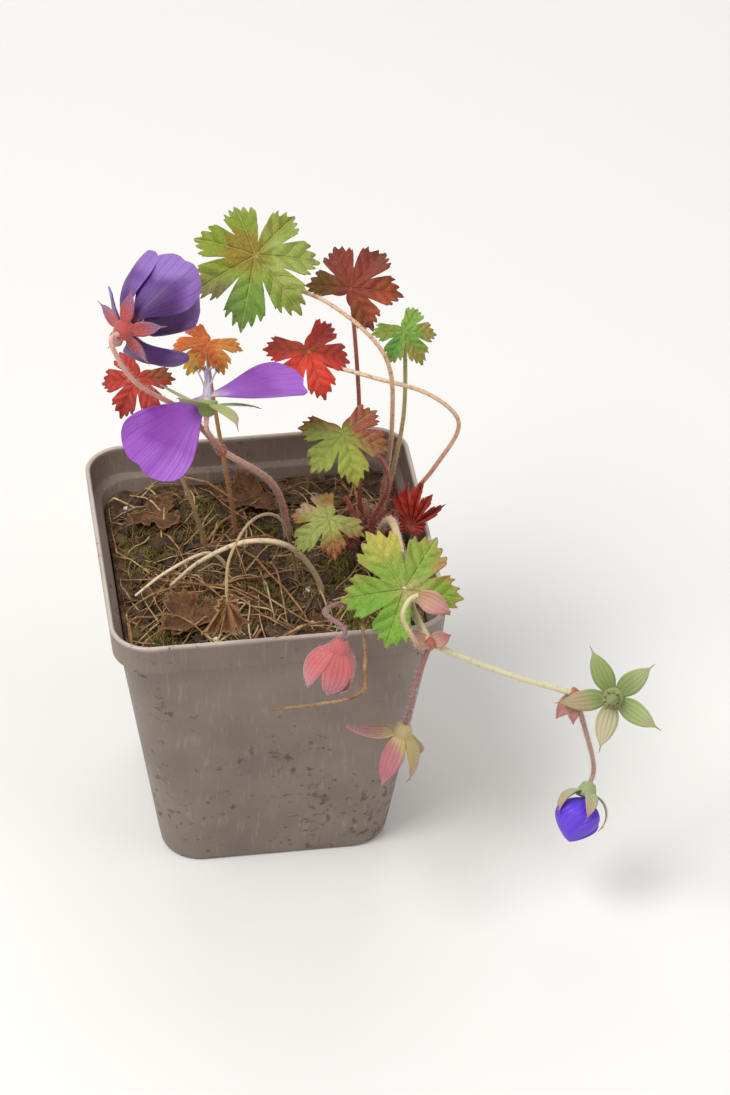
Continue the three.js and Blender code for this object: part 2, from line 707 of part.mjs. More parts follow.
// A group at a flower's place: the pieces in it are made about its Z axis.
function flowerGroup(part) {
  const place = new THREE.Group();
  place.applyMatrix4(flowerFrame(part));
  group.add(place);
  return place;
}

const standsIn = (foot) => Object.values(leaves).filter((leaf) => leaf.stalk[0].z === foot);
const crownHoles = [
  ...standsIn(crownFoot).map((leaf) => stemHole(leaf.stalk, blade.stalkRadius)),
  stemHole(trailing.main, trailing.radius),
];
const soilHoles = [
  ...standsIn(soilFoot).map((leaf) => stemHole(leaf.stalk, blade.stalkRadius)),
  stemHole(flowerStalk.main, flowerStalk.radius),
  stemHole(dryLeaf.stalk, blade.stalkRadius),
  ...Object.values(dryStalks).map((path) => stemHole(path, blade.stalkRadius)),
];

addPiece('pot', makePot(), { color: '#7d6e65', roughness: 0.55 });
const ground = addPiece('soil', cutBy(makeSoil(), [makeRootstock(gap), ...soilHoles]),
  { color: '#5b4630', roughness: 0.95 });
addPiece('rootstock', cutBy(makeRootstock(), crownHoles), { color: '#5a2f22', roughness: 0.8 });
for (const [name, leaf] of Object.entries(leaves)) addPiece(name, makeLeaf(leaf), leaf);

addPiece('flower_stalk', joined([
  stem(flowerStalk.main, flowerStalk.radius, 7),
  stem(flowerStalk.toSide, flowerStalk.thinRadius, 10, 4),
  stem(flowerStalk.toLow, flowerStalk.thinRadius, 6, 4),
  ellipsoid(flowerFork, [1.9, 1.9, 2.1]),
]), { color: '#a86f63' });

const petalLooks = { color: '#9a4acc', roughness: 0.5 };
const stamenLooks = { color: '#b9b56a' };
const side = flowerGroup(sideFlower);
addPiece('flower_side_calyx', makeCalyx(sepals.open), { color: '#b5533f' }, side);
addPiece('flower_side_petals', ringOfPetals(sideFlower.petals), petalLooks, side);
addPiece('flower_side_centre', flowerCentre(2), stamenLooks, side);
addPiece('flower_low', makeLowFlower(lowFlower), petalLooks);
addPiece('flower_low_centre', flowerCentre(2.7), stamenLooks, flowerGroup(lowFlower));

const leafSocket = stemHole(trailingLeaf.stalk, blade.stalkRadius);
addPiece('trailing_stem', makeTrailingStem().subtract(leafSocket), { color: '#b9a877' });
addPiece('leaf_trailing', makeLeaf(trailingLeaf), trailingLeaf);
addPiece('calyx_pink_upper', makeCalyx(sepals.closed), { color: '#d9646e' }, flowerGroup(upperCalyx));
addPiece('calyx_pink_lower', makeCalyx(sepals.halfOpen), { color: '#d08a80' }, flowerGroup(lowerCalyx));
addPiece('calyx_star', makeCalyx(sepals.star), { color: '#a9bd86' }, flowerGroup(starCalyx));
const budGroup = flowerGroup(bud);
addPiece('bud_sepals', makeCalyx(sepals.bud), { color: '#b4c08c' }, budGroup);
addPiece('bud_petals', rolledPetals(bud.petals), { color: '#5a3cc0', roughness: 0.5 }, budGroup);

addPiece('dry_leaf', makeLeaf(dryLeaf), { color: '#8a5a34', roughness: 0.85 });
for (const [name, path] of Object.entries(dryStalks)) {
  addPiece(name, stem(path, blade.stalkRadius, 11), { color: '#cdb894', roughness: 0.8 });
}
for (const [name, leaf] of Object.entries(litterLeaves)) {
  addPiece(name, makeLitterLeaf(leaf, ground), { color: '#6b4a2c', roughness: 0.9 });
}

export default group;
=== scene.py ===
import json
import math
import random

import bmesh
import bpy
from mathutils import Matrix, Vector, noise

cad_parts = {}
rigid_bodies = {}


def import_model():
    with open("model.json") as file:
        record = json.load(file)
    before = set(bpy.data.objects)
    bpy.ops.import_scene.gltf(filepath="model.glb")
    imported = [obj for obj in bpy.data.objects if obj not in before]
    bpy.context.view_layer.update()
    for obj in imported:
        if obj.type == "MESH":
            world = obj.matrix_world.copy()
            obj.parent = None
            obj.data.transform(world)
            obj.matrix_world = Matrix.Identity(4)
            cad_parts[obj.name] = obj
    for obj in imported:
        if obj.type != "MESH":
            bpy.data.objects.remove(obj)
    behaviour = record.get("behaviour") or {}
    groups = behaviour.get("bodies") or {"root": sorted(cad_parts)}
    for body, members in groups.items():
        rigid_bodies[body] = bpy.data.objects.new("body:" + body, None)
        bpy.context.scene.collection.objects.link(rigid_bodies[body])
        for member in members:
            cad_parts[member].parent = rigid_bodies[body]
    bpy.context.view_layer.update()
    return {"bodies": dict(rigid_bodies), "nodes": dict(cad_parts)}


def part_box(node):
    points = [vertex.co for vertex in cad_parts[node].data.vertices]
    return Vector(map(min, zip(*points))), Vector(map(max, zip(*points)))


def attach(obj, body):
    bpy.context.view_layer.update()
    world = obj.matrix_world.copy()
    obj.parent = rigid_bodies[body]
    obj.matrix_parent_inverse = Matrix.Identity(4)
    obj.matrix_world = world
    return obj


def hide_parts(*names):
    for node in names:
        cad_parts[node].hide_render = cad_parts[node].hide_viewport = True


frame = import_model()
body = list(frame["bodies"])[0]
mm = 0.001
noise.seed_set(5)  # noise_vector is seeded by the clock otherwise
print("frame loaded:", len(frame["nodes"]), "solids on", body)


# numbers and places

def chance(seed, step):
    value = math.sin(seed * 12.9898 + step * 78.233) * 43758.5453
    return value - math.floor(value)


def ramp(x, low, high):
    share = min(1.0, max(0.0, (x - low) / (high - low)))
    return share * share * (3 - 2 * share)


def along(table, x):
    # the value at x on a smooth line through a table of (x, value) pairs
    last = len(table) - 1
    i = next((i for i in range(last) if x <= table[i + 1][0]), last - 1)
    (xa, ya), (x0, y0), (x1, y1), (xb, yb) = (table[max(0, min(last, i + k))] for k in (-1, 0, 1, 2))
    span = x1 - x0
    m0, m1 = span * (y1 - ya) / (x1 - xa), span * (yb - y0) / (xb - x0)
    t = min(1.0, (x - x0) / span)
    return y0 + m0 * t + (3 * (y1 - y0) - 2 * m0 - m1) * t * t + (2 * (y0 - y1) + m0 + m1) * t ** 3


def placeFrame(position, normal, tip):
    z = Vector(normal).normalized()
    y = Vector(tip)
    y = (y - z * y.dot(z)).normalized()
    x = y.cross(z)
    turn = Matrix((x, y, z)).transposed().to_4x4()
    return Matrix.Translation(Vector(position)) @ turn


def smoothPath(points, perSpan=8):
    # a centripetal curve through the points
    knots = [Vector(p) for p in points]
    knots = [2 * knots[0] - knots[1]] + knots + [2 * knots[-1] - knots[-2]]
    places = []
    for p0, p1, p2, p3 in zip(knots, knots[1:], knots[2:], knots[3:]):
        d0, d1, d2 = (max(1e-4, (b - a).length) ** 0.5 for a, b in ((p0, p1), (p1, p2), (p2, p3)))
        m1 = ((p1 - p0) / d0 - (p2 - p0) / (d0 + d1) + (p2 - p1) / d1) * d1
        m2 = ((p2 - p1) / d1 - (p3 - p1) / (d1 + d2) + (p3 - p2) / d2) * d1
        for i in range(perSpan):
            t = i / perSpan
            places.append(p1 + m1 * t + (3 * (p2 - p1) - 2 * m1 - m2) * t * t
                          + (2 * (p1 - p2) + m1 + m2) * t ** 3)
    places.append(knots[-2])
    return places


# materials

def linear(hexColor):
    # an sRGB hex colour as linear red, green, blue and alpha
    parts = [int(hexColor[i:i + 2], 16) / 255 for i in (1, 3, 5)]
    return tuple(c / 12.92 if c <= 0.04045 else ((c + 0.055) / 1.055) ** 2.4 for c in parts) + (1,)


def addNode(tree, kind, inputs=None, stops=None, out=0, **settings):
    # adds a shader node with its settings, colour stops, and input values or links, and gives one output
    node = tree.nodes.new("ShaderNode" + kind)
    for name, value in settings.items():
        setattr(node, name, value)
    if stops:
        elements = node.color_ramp.elements
        while len(elements) < len(stops):
            elements.new(0.5)
        for element, (position, color) in zip(elements, stops):
            element.position = position
            element.color = linear(color) if isinstance(color, str) else (color, color, color, 1)
    for key, value in (inputs or {}).items():
        socket = node.inputs[key]
        if isinstance(value, bpy.types.NodeSocket):
            tree.links.new(value, socket)
        else:
            socket.default_value = value
    return node.outputs[out]


def newMaterial(name, roughness=0.5, **sockets):
    material = bpy.data.materials.new(name)
    material.use_nodes = True
    shader = material.node_tree.nodes["Principled BSDF"]
    shader.inputs["Roughness"].default_value = roughness
    for key, value in sockets.items():
        shader.inputs[key.replace("_", " ")].default_value = value
    return material, material.node_tree, shader


def finishSkin(tree, shader, color, relief, strength, depth):
    # gives the shader its colour, and a relief of the given depth in metres
    tree.links.new(color, shader.inputs["Base Color"])
    bump = addNode(tree, "Bump", {"Height": relief, "Strength": strength, "Distance": depth})
    tree.links.new(bump, shader.inputs["Normal"])


def tintNear(tree, place, patches, color, tints):
    # blends a tone in round each spot, given in millimetres, out to its reach and with a ragged edge
    for spot, reach, tone, most in tints:
        away = addNode(tree, "VectorMath", {0: place, 1: [c * mm for c in spot]}, operation="DISTANCE",
                       out="Value")
        ragged = addNode(tree, "Math", {0: patches, 1: -0.9 * reach * mm, 2: away}, operation="MULTIPLY_ADD")
        share = addNode(tree, "MapRange", {"Value": ragged, "From Min": 0.65 * reach * mm,
                                           "From Max": 0.15 * reach * mm, "To Max": most})
        color = addNode(tree, "Mix", {0: share, 6: color, 7: linear(tone)}, data_type="RGBA", out=2)
    return color


leafLooks = {
    # base and second tone, the flush that spreads over it, where the flush starts and how strong,
    # the tone at the centre, the margin, and the veins
    "greenHigh": dict(base="#6f8622", second="#8b9c3e", flush="#86762a", flushFrom=0.60, flushMost=0.55,
                      centre="#8b6f22", centreReach=0.3, edge="#939c48", vein="#a3ab5c"),
    "bronze": dict(base="#7c341a", second="#8a4c1e", flush="#682c18", flushFrom=0.5, flushMost=0.75,
                   centre="#865828", centreReach=0.34, edge="#6c281c", vein="#955634"),
    "red": dict(base="#a63228", second="#914228", flush="#c6332c", flushFrom=0.44, flushMost=0.9,
                centre="#8a4e24", centreReach=0.36, edge="#cc4834", vein="#bc5a42"),
    "orange": dict(base="#e27e34", second="#f0ae50", flush="#d8491f", flushFrom=0.46, flushMost=0.9,
                   centre="#c8461e", centreReach=0.35, edge="#dca848", vein="#e0ac5c"),
    "scarlet": dict(base="#a42c26", second="#903a24", flush="#b4362c", flushFrom=0.5, flushMost=0.75,
                    centre="#924c26", centreReach=0.25, edge="#862420", vein="#b85642"),
    "olive": dict(base="#7c7c28", second="#8c8e38", flush="#823c2a", flushFrom=0.5, flushMost=0.85,
                  centre="#8c9244", centreReach=0.5, edge="#8a3c2c", vein="#9fa052"),
    "smallGreen": dict(base="#58822c", second="#768f38", flush="#96702c", flushFrom=0.6, flushMost=0.65,
                       centre="#7c9444", centreReach=0.3, edge="#869644", vein="#94a85a"),
    "youngRed": dict(base="#8c2820", second="#70221e", flush="#ac3a2a", flushFrom=0.5, flushMost=0.8,
                     centre="#a04c34", centreReach=0.4, edge="#68201c", vein="#b46450"),
    "trailing": dict(base="#74922a", second="#8c9c3a", flush="#9c8440", flushFrom=0.64, flushMost=0.5,
                     centre="#9c9448", centreReach=0.22, edge="#a0884a", vein="#a0ac5a"),
    "dead": dict(base="#64411f", second="#835a30", flush="#452a1a", flushFrom=0.5, flushMost=0.9,
                 centre="#75502e", centreReach=0.3, edge="#8e683e", vein="#8a6640"),
    "dried": dict(base="#9a6c42", second="#ac8254", flush="#744828", flushFrom=0.5, flushMost=0.8,
                  centre="#8e6238", centreReach=0.3, edge="#b28c5e", vein="#aa865c"),
}


def leafMaterial(name, look, radius, dry=False, tints=()):
    # Living leaf: thin, downy and satin, quilted between sunken paler veins. A dead one is duller and
    # cracked. The pattern lies on the blade's own map, where one unit is the leaf's radius.
    material, tree, shader = newMaterial(name, 0.75 if dry else 0.52, Sheen_Weight=0.03,
                                         Specular_IOR_Level=0.24)
    place = addNode(tree, "TexCoord", out="Object")
    across = addNode(tree, "SeparateXYZ", {0: addNode(tree, "UVMap", uv_map="blade")})
    up = across.node.outputs[1]
    beside = addNode(tree, "Math", {0: across}, operation="ABSOLUTE")
    toEdge = addNode(tree, "Attribute", attribute_name="toEdge", out="Fac")

    # side veins leave the midrib at about 45 degrees, five pairs to a lobe, and fade before the margin
    wander = addNode(tree, "TexNoise", {"Vector": place, "Scale": 260.0, "Detail": 1.0})
    forward = addNode(tree, "Math", {0: beside, 1: -0.9, 2: up}, operation="MULTIPLY_ADD")
    forward = addNode(tree, "Math", {0: wander, 1: 0.07, 2: forward}, operation="MULTIPLY_ADD")
    turned = addNode(tree, "Math", {0: forward, 1: 2 * math.pi * leafShape["sideVeins"]},
                     operation="MULTIPLY")
    wave = addNode(tree, "Math", {0: turned}, operation="COSINE")
    sides = addNode(tree, "MapRange", {"Value": wave, "From Min": 0.86, "From Max": 0.99})
    midrib = addNode(tree, "MapRange", {"Value": beside, "From Min": 0.026, "From Max": 0.007})
    onBlade = addNode(tree, "MapRange", {"Value": toEdge, "From Min": 0.97, "From Max": 0.72, "To Max": 0.6})
    offCentre = addNode(tree, "MapRange", {"Value": up, "From Min": 0.16, "From Max": 0.42})
    sides = addNode(tree, "Math", {0: sides, 1: onBlade}, operation="MULTIPLY")
    sides = addNode(tree, "Math", {0: sides, 1: offCentre}, operation="MULTIPLY")
    veins = addNode(tree, "Math", {0: midrib, 1: sides}, operation="MAXIMUM")

    # soft patches about 5 mm across, and fine mottling of about 0.6 mm
    patches = addNode(tree, "TexNoise", {"Vector": place, "Scale": 190.0, "Detail": 3.0, "Roughness": 0.6})
    mottle = addNode(tree, "TexNoise", {"Vector": place, "Scale": 1500.0, "Detail": 2.0})
    color = addNode(tree, "ValToRGB", {0: patches}, stops=[(0.38, look["base"]), (0.64, look["second"])])
    nearCentre = addNode(tree, "MapRange", {"Value": toEdge, "From Min": look["centreReach"] * 1.5,
                                            "From Max": 0.08, "To Max": 0.8})
    flushed = addNode(tree, "Math", {0: toEdge, 1: 0.22, 2: patches}, operation="MULTIPLY_ADD")
    flushed = addNode(tree, "MapRange", {"Value": flushed, "From Min": look["flushFrom"],
                                         "From Max": look["flushFrom"] + 0.16,
                                         "To Max": look["flushMost"]})
    margin = addNode(tree, "MapRange", {"Value": toEdge, "From Min": 0.86, "From Max": 1.0, "To Max": 0.75})
    for share, tone in ((nearCentre, "centre"), (flushed, "flush"), (margin, "edge")):
        color = addNode(tree, "Mix", {0: share, 6: color, 7: linear(look[tone])}, data_type="RGBA", out=2)
    color = tintNear(tree, place, patches, color, tints)
    # the net of small veins between them, in meshes of 1.3 mm
    net = addNode(tree, "TexVoronoi", {"Vector": place, "Scale": 760.0}, feature="DISTANCE_TO_EDGE")
    mesh = addNode(tree, "MapRange", {"Value": net, "From Min": 0.09, "From Max": 0.02, "To Max": 0.2})
    veinShare = addNode(tree, "Math", {0: veins, 1: 0.5}, operation="MULTIPLY")
    veinShare = addNode(tree, "Math", {0: veinShare, 1: mesh}, operation="MAXIMUM")
    color = addNode(tree, "Mix", {0: veinShare, 6: color, 7: linear(look["vein"])}, data_type="RGBA", out=2)
    shade = addNode(tree, "MapRange", {"Value": mottle, "From Min": 0.3, "From Max": 0.7,
                                       "To Min": 0.84, "To Max": 1.12})
    color = addNode(tree, "HueSaturation", {"Value": shade, "Color": color})

    # the blade swells between the sunken veins
    swell = addNode(tree, "Math", {0: wave, 1: -0.35}, operation="MULTIPLY")
    relief = addNode(tree, "Math", {0: veins, 1: -0.9, 2: swell}, operation="MULTIPLY_ADD")
    relief = addNode(tree, "Math", {0: mesh, 1: -0.9, 2: relief}, operation="MULTIPLY_ADD")
    if dry:
        relief = addNode(tree, "Math", {0: mottle, 1: 2.0, 2: relief}, operation="MULTIPLY_ADD")
    finishSkin(tree, shader, color, relief, 0.7, 0.0004 * radius / 15)
    return material


def petalMaterial(name, tones, veinColor, throat, tints=()):
    # Petal: a thin satin skin with fine darker nerves that fan out from a pale foot.
    material, tree, shader = newMaterial(name, 0.45, Sheen_Weight=0.06, Specular_IOR_Level=0.3,
                                         Subsurface_Weight=0.08, Subsurface_Radius=(0.0008, 0.0004, 0.0012))
    place = addNode(tree, "TexCoord", out="Object")
    across = addNode(tree, "SeparateXYZ", {0: addNode(tree, "UVMap", uv_map="blade")})
    up = across.node.outputs[1]
    wander = addNode(tree, "TexNoise", {"Vector": place, "Scale": 160.0, "Detail": 2.0})
    bent = addNode(tree, "Math", {0: wander, 1: 0.08, 2: across}, operation="MULTIPLY_ADD")
    lines = []
    for count, start in ((8.0, 0.0), (22.0, 0.4)):
        turned = addNode(tree, "Math", {0: bent, 1: count * math.pi}, operation="MULTIPLY")
        wave = addNode(tree, "Math", {0: turned}, operation="COSINE")
        line = addNode(tree, "MapRange", {"Value": wave, "From Min": 0.86, "From Max": 1.0})
        shown = addNode(tree, "MapRange", {"Value": up, "From Min": start, "From Max": start + 0.25})
        lines.append(addNode(tree, "Math", {0: line, 1: shown}, operation="MULTIPLY"))
    veins = addNode(tree, "Math", {0: lines[0], 1: lines[1]}, operation="MAXIMUM")
    lift = addNode(tree, "Math", {0: wander, 1: 0.4, 2: up}, operation="MULTIPLY_ADD")
    color = addNode(tree, "ValToRGB", {0: lift}, stops=[
        (0.18, throat), (0.42, tones[0]), (0.8, tones[1]), (1.15, tones[2])])
    color = tintNear(tree, place, wander, color, tints)
    share = addNode(tree, "Math", {0: veins, 1: 0.34}, operation="MULTIPLY")
    color = addNode(tree, "Mix", {0: share, 6: color, 7: linear(veinColor)}, data_type="RGBA", out=2)
    grain = addNode(tree, "TexNoise", {"Vector": place, "Scale": 2600.0, "Detail": 1.0})
    relief = addNode(tree, "Math", {0: veins, 1: -1.2, 2: grain}, operation="MULTIPLY_ADD")
    finishSkin(tree, shader, color, relief, 0.4, 0.0001)
    return material


def sepalMaterial(name, foot, middle, tip, nerve, tints=()):
    # Sepal: downy and matte, ribbed by three to seven nerves from foot to tip.
    material, tree, shader = newMaterial(name, 0.6, Sheen_Weight=0.3)
    place = addNode(tree, "TexCoord", out="Object")
    across = addNode(tree, "SeparateXYZ", {0: addNode(tree, "UVMap", uv_map="blade")})
    up = across.node.outputs[1]
    patches = addNode(tree, "TexNoise", {"Vector": place, "Scale": 300.0, "Detail": 3.0})
    lift = addNode(tree, "Math", {0: patches, 1: 0.5, 2: up}, operation="MULTIPLY_ADD")
    color = addNode(tree, "ValToRGB", {0: lift}, stops=[(0.2, foot), (0.62, middle), (1.0, tip)])
    color = tintNear(tree, place, patches, color, tints)
    turned = addNode(tree, "Math", {0: across, 1: 5 * math.pi}, operation="MULTIPLY")
    wave = addNode(tree, "Math", {0: turned}, operation="COSINE")
    ribs = addNode(tree, "MapRange", {"Value": wave, "From Min": 0.3, "From Max": 1.0, "To Max": 0.45})
    color = addNode(tree, "Mix", {0: ribs, 6: color, 7: linear(nerve)}, data_type="RGBA", out=2)
    down = addNode(tree, "TexNoise", {"Vector": place, "Scale": 3500.0, "Detail": 2.0})
    relief = addNode(tree, "Math", {0: wave, 1: 0.5, 2: down}, operation="MULTIPLY_ADD")
    finishSkin(tree, shader, color, relief, 0.5, 0.00012)
    return material


def stemMaterial(name, foot, top, flecks, roughness=0.5):
    # Green stem: round, downy, with reddish flecks about 1 mm across.
    material, tree, shader = newMaterial(name, roughness, Sheen_Weight=0.2)
    place = addNode(tree, "TexCoord", out="Object")
    share = addNode(tree, "Attribute", attribute_name="share", out="Fac")
    patches = addNode(tree, "TexNoise", {"Vector": place, "Scale": 220.0, "Detail": 4.0, "Roughness": 0.7})
    lift = addNode(tree, "Math", {0: patches, 1: 0.5, 2: share}, operation="MULTIPLY_ADD")
    color = addNode(tree, "ValToRGB", {0: lift}, stops=[(0.25, foot), (1.1, top)])
    fleck = addNode(tree, "TexNoise", {"Vector": place, "Scale": 900.0, "Detail": 2.0})
    spots = addNode(tree, "MapRange", {"Value": fleck, "From Min": 0.56, "From Max": 0.68, "To Max": 0.6})
    color = addNode(tree, "Mix", {0: spots, 6: color, 7: linear(flecks)}, data_type="RGBA", out=2)
    finishSkin(tree, shader, color, fleck, 0.35, 0.00015)
    return material


def litterMaterial(name, tones, scale, roughness=0.85, depth=0.0003, ramps=(0.3, 0.5, 0.7)):
    # Loose organic matter: matte, broken up into patches of the given tones.
    material, tree, shader = newMaterial(name, roughness)
    place = addNode(tree, "TexCoord", out="Object")
    patches = addNode(tree, "TexNoise", {"Vector": place, "Scale": scale, "Detail": 5.0, "Roughness": 0.7})
    color = addNode(tree, "ValToRGB", {0: patches}, stops=list(zip(ramps, tones)))
    fine = addNode(tree, "TexNoise", {"Vector": place, "Scale": scale * 5, "Detail": 3.0})
    shade = addNode(tree, "MapRange", {"Value": fine, "From Min": 0.3, "From Max": 0.7,
                                       "To Min": 0.65, "To Max": 1.3})
    color = addNode(tree, "HueSaturation", {"Value": shade, "Color": color})
    finishSkin(tree, shader, color, fine, 0.8, depth)
    return material


def potMaterial():
    # Thin moulded polypropylene, taupe, paler along its lip, scuffed and splashed with soil.
    material, tree, shader = newMaterial("taupePolypropyleneMoulded", 0.5, IOR=1.49)
    place = addNode(tree, "TexCoord", out="Object")
    height = addNode(tree, "SeparateXYZ", {0: place}, out=2)
    cloud = addNode(tree, "TexNoise", {"Vector": place, "Scale": 60.0, "Detail": 4.0})
    color = addNode(tree, "ValToRGB", {0: cloud}, stops=[(0.3, "#75665d"), (0.7, "#85766c")])
    # the lip is paler for about 1.5 mm below the top
    raggedHeight = addNode(tree, "Math", {0: cloud, 1: 0.0016, 2: height}, operation="MULTIPLY_ADD")
    lip = addNode(tree, "MapRange", {"Value": raggedHeight, "From Min": 0.0874, "From Max": 0.0888,
                                     "To Max": 0.85})
    # upright scuffs, a few tenths of a millimetre wide and centimetres long
    drawn = addNode(tree, "Mapping", {0: place, "Scale": (1, 1, 0.04)})
    scuff = addNode(tree, "TexNoise", {"Vector": drawn, "Scale": 900.0, "Detail": 2.0})
    scuffs = addNode(tree, "MapRange", {"Value": scuff, "From Min": 0.58, "From Max": 0.75, "To Max": 0.35})
    # dried splashes of soil, a millimetre or two across, most of them low on the wall
    splash = addNode(tree, "TexNoise", {"Vector": place, "Scale": 420.0, "Detail": 4.0, "Roughness": 0.6})
    dirty = addNode(tree, "TexNoise", {"Vector": place, "Scale": 40.0, "Detail": 2.0})
    low = addNode(tree, "MapRange", {"Value": height, "From Min": 0.06, "From Max": 0.0, "To Max": 0.12})
    where = addNode(tree, "Math", {0: dirty, 1: low}, operation="ADD")
    where = addNode(tree, "Math", {0: where, 1: 0.45, 2: splash}, operation="MULTIPLY_ADD")
    soiled = addNode(tree, "MapRange", {"Value": where, "From Min": 0.86, "From Max": 0.96, "To Max": 0.8})
    for share, tone in ((lip, "#c2b4a8"), (scuffs, "#a39588"), (soiled, "#5a4a3c")):
        color = addNode(tree, "Mix", {0: share, 6: color, 7: linear(tone)}, data_type="RGBA", out=2)
    rough = addNode(tree, "MapRange", {"Value": soiled, "To Min": 0.46, "To Max": 0.85})
    tree.links.new(rough, shader.inputs["Roughness"])
    skin = addNode(tree, "TexNoise", {"Vector": place, "Scale": 2200.0, "Detail": 2.0})
    relief = addNode(tree, "Math", {0: soiled, 1: 3.0, 2: skin}, operation="MULTIPLY_ADD")
    finishSkin(tree, shader, color, relief, 0.25, 0.00012)
    return material


print("materials ready to make")


# meshes

def keepMesh(bm, name):
    mesh = bpy.data.meshes.new(name)
    bm.to_mesh(mesh)
    bm.free()
    return mesh


def pour(bm, fresh):
    # moves a small mesh of its own into the piece's mesh
    kept = keepMesh(fresh, "part")
    bm.from_mesh(kept)
    bpy.data.meshes.remove(kept)


def finishPiece(bm, name, material, nodes=(), slotName=None, smooth=True, solidify=0):
    # turns a bmesh drawn in millimetres into a piece that rides on the body
    bmesh.ops.scale(bm, vec=(mm, mm, mm), verts=bm.verts)
    for face in bm.faces:
        face.smooth = smooth
    mesh = keepMesh(bm, name)
    piece = bpy.data.objects.new(name, mesh)
    bpy.context.collection.objects.link(piece)
    for each in material if isinstance(material, list) else [material]:
        mesh.materials.append(each)
    if solidify:
        wall = piece.modifiers.new("thickness", "SOLIDIFY")
        wall.thickness = solidify * mm
        wall.offset = 0
        wall.material_offset = len(mesh.materials) - 1  # the back takes the second material
    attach(piece, body)
    if nodes:
        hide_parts(*nodes)
    return piece


def mapBlade(bm, mapPlace):
    # writes the map that the materials read: mapPlace gives it for a face's corner
    layer = bm.loops.layers.uv.new("blade")
    for face in bm.faces:
        for loop in face.loops:
            loop[layer].uv = mapPlace(face, loop.vert)


def addTube(bm, points, radii, sides=2):
    # a round stem along the points, with its share of the length kept for the material
    curve = bpy.data.curves.new("path", "CURVE")
    curve.dimensions = "3D"
    curve.bevel_depth = 1
    curve.bevel_resolution = sides
    curve.use_fill_caps = True
    spline = curve.splines.new("POLY")
    spline.points.add(len(points) - 1)
    last = len(points) - 1
    for i, (knot, place) in enumerate(zip(spline.points, points)):
        knot.co = (*place, 1)
        knot.radius = along(radii, i / last)
    holder = bpy.data.objects.new("path", curve)
    mesh = holder.to_mesh()
    before = len(bm.verts)
    bm.from_mesh(mesh)
    bm.verts.ensure_lookup_table()
    layer = bm.verts.layers.float.get("share") or bm.verts.layers.float.new("share")
    made = [bm.verts[i] for i in range(before, len(bm.verts))]
    perRing = max(1, round(len(made) / len(points)))
    for i, vert in enumerate(made):
        vert[layer] = min(1.0, (i // perRing) / last)
    holder.to_mesh_clear()
    bpy.data.objects.remove(holder)
    bpy.data.curves.remove(curve)


def sortFaces(bm):
    # welding and filling leave the faces in a chance order: this puts them in order along a slanting line
    slant = Vector((1, 0.61, 0.37))
    bm.faces.sort(key=lambda face: face.calc_center_median().dot(slant))


def spinLine(places, steps, weld):
    # a round sheet, spun from a line of places
    fresh = bmesh.new()
    line = [fresh.verts.new(place) for place in places]
    edges = [fresh.edges.new(pair) for pair in zip(line, line[1:])]
    bmesh.ops.spin(fresh, geom=line + edges, cent=(0, 0, 0), axis=(0, 0, 1), angle=2 * math.pi,
                   steps=steps, use_merge=True)
    bmesh.ops.remove_doubles(fresh, verts=fresh.verts, dist=weld)
    sortFaces(fresh)
    return fresh


def addBlob(bm, centre, radii, detail=2, rough=0.0, seed=0):
    # a knob: a ball pressed to the radii and roughened by noise
    made = bmesh.ops.create_icosphere(bm, subdivisions=detail, radius=1)["verts"]
    for vert in made:
        bumpy = 1 + rough * noise.noise(vert.co * 1.7 + Vector((seed, seed * 2, 0)))
        vert.co = Vector([c * r * bumpy for c, r in zip(vert.co, radii)]) + Vector(centre)
    return made


# leaves

lobeEdge = [  # share of the lobe's length, by share of the half angle from its midrib
    (0, 1.0), (0.05, 0.99), (0.16, 0.885), (0.20, 0.88), (0.29, 0.935), (0.33, 0.925), (0.45, 0.79),
    (0.49, 0.79), (0.60, 0.875), (0.64, 0.87), (0.71, 0.80), (0.77, 0.815), (0.80, 0.80), (0.87, 0.60),
    (0.93, 0.44), (1.0, 0.36),
]

leafShape = dict(spread=58, lobes=5, sideVeins=5, cut=0.36, droop=0.22, crease=0.16, wave=0.045, curl=0.08,
                 thickness=0.34, stalkRadii=[(0, 0.82), (0.12, 0.66), (0.9, 0.58), (1, 0.8)])


def edgeShare(shape, turn):
    # how far the margin is from the centre at an angle from the middle lobe, as a share of the radius
    place = turn / math.radians(shape["spread"])
    reach = (shape["lobes"] - 1) / 2
    if abs(place) > reach + 0.5:
        back = (abs(place) - reach - 0.5) / (math.pi / math.radians(shape["spread"]) - reach - 0.5)
        return shape["cut"] * (1 - back) + 0.12 * back
    lobe = max(-reach, min(reach, round(place + reach) - reach))
    off = 2 * (place - lobe)
    uneven = chance(shape["seed"], lobe + (7 if off > 0 else 0)) - 0.5
    share = along(lobeEdge, min(1, abs(off)))
    tooth = 0.011 * math.sin(abs(off) * 40 + uneven * 5) * ramp(share, 0.6, 0.8)
    length = 1 - 0.07 * abs(lobe)
    cutShare = shape["cut"] / 0.36
    low = share * cutShare if share < 0.5 else share
    return (low + tooth) * (length if share > 0.5 else 1) * (1 + 0.05 * uneven * (1 - abs(off)))


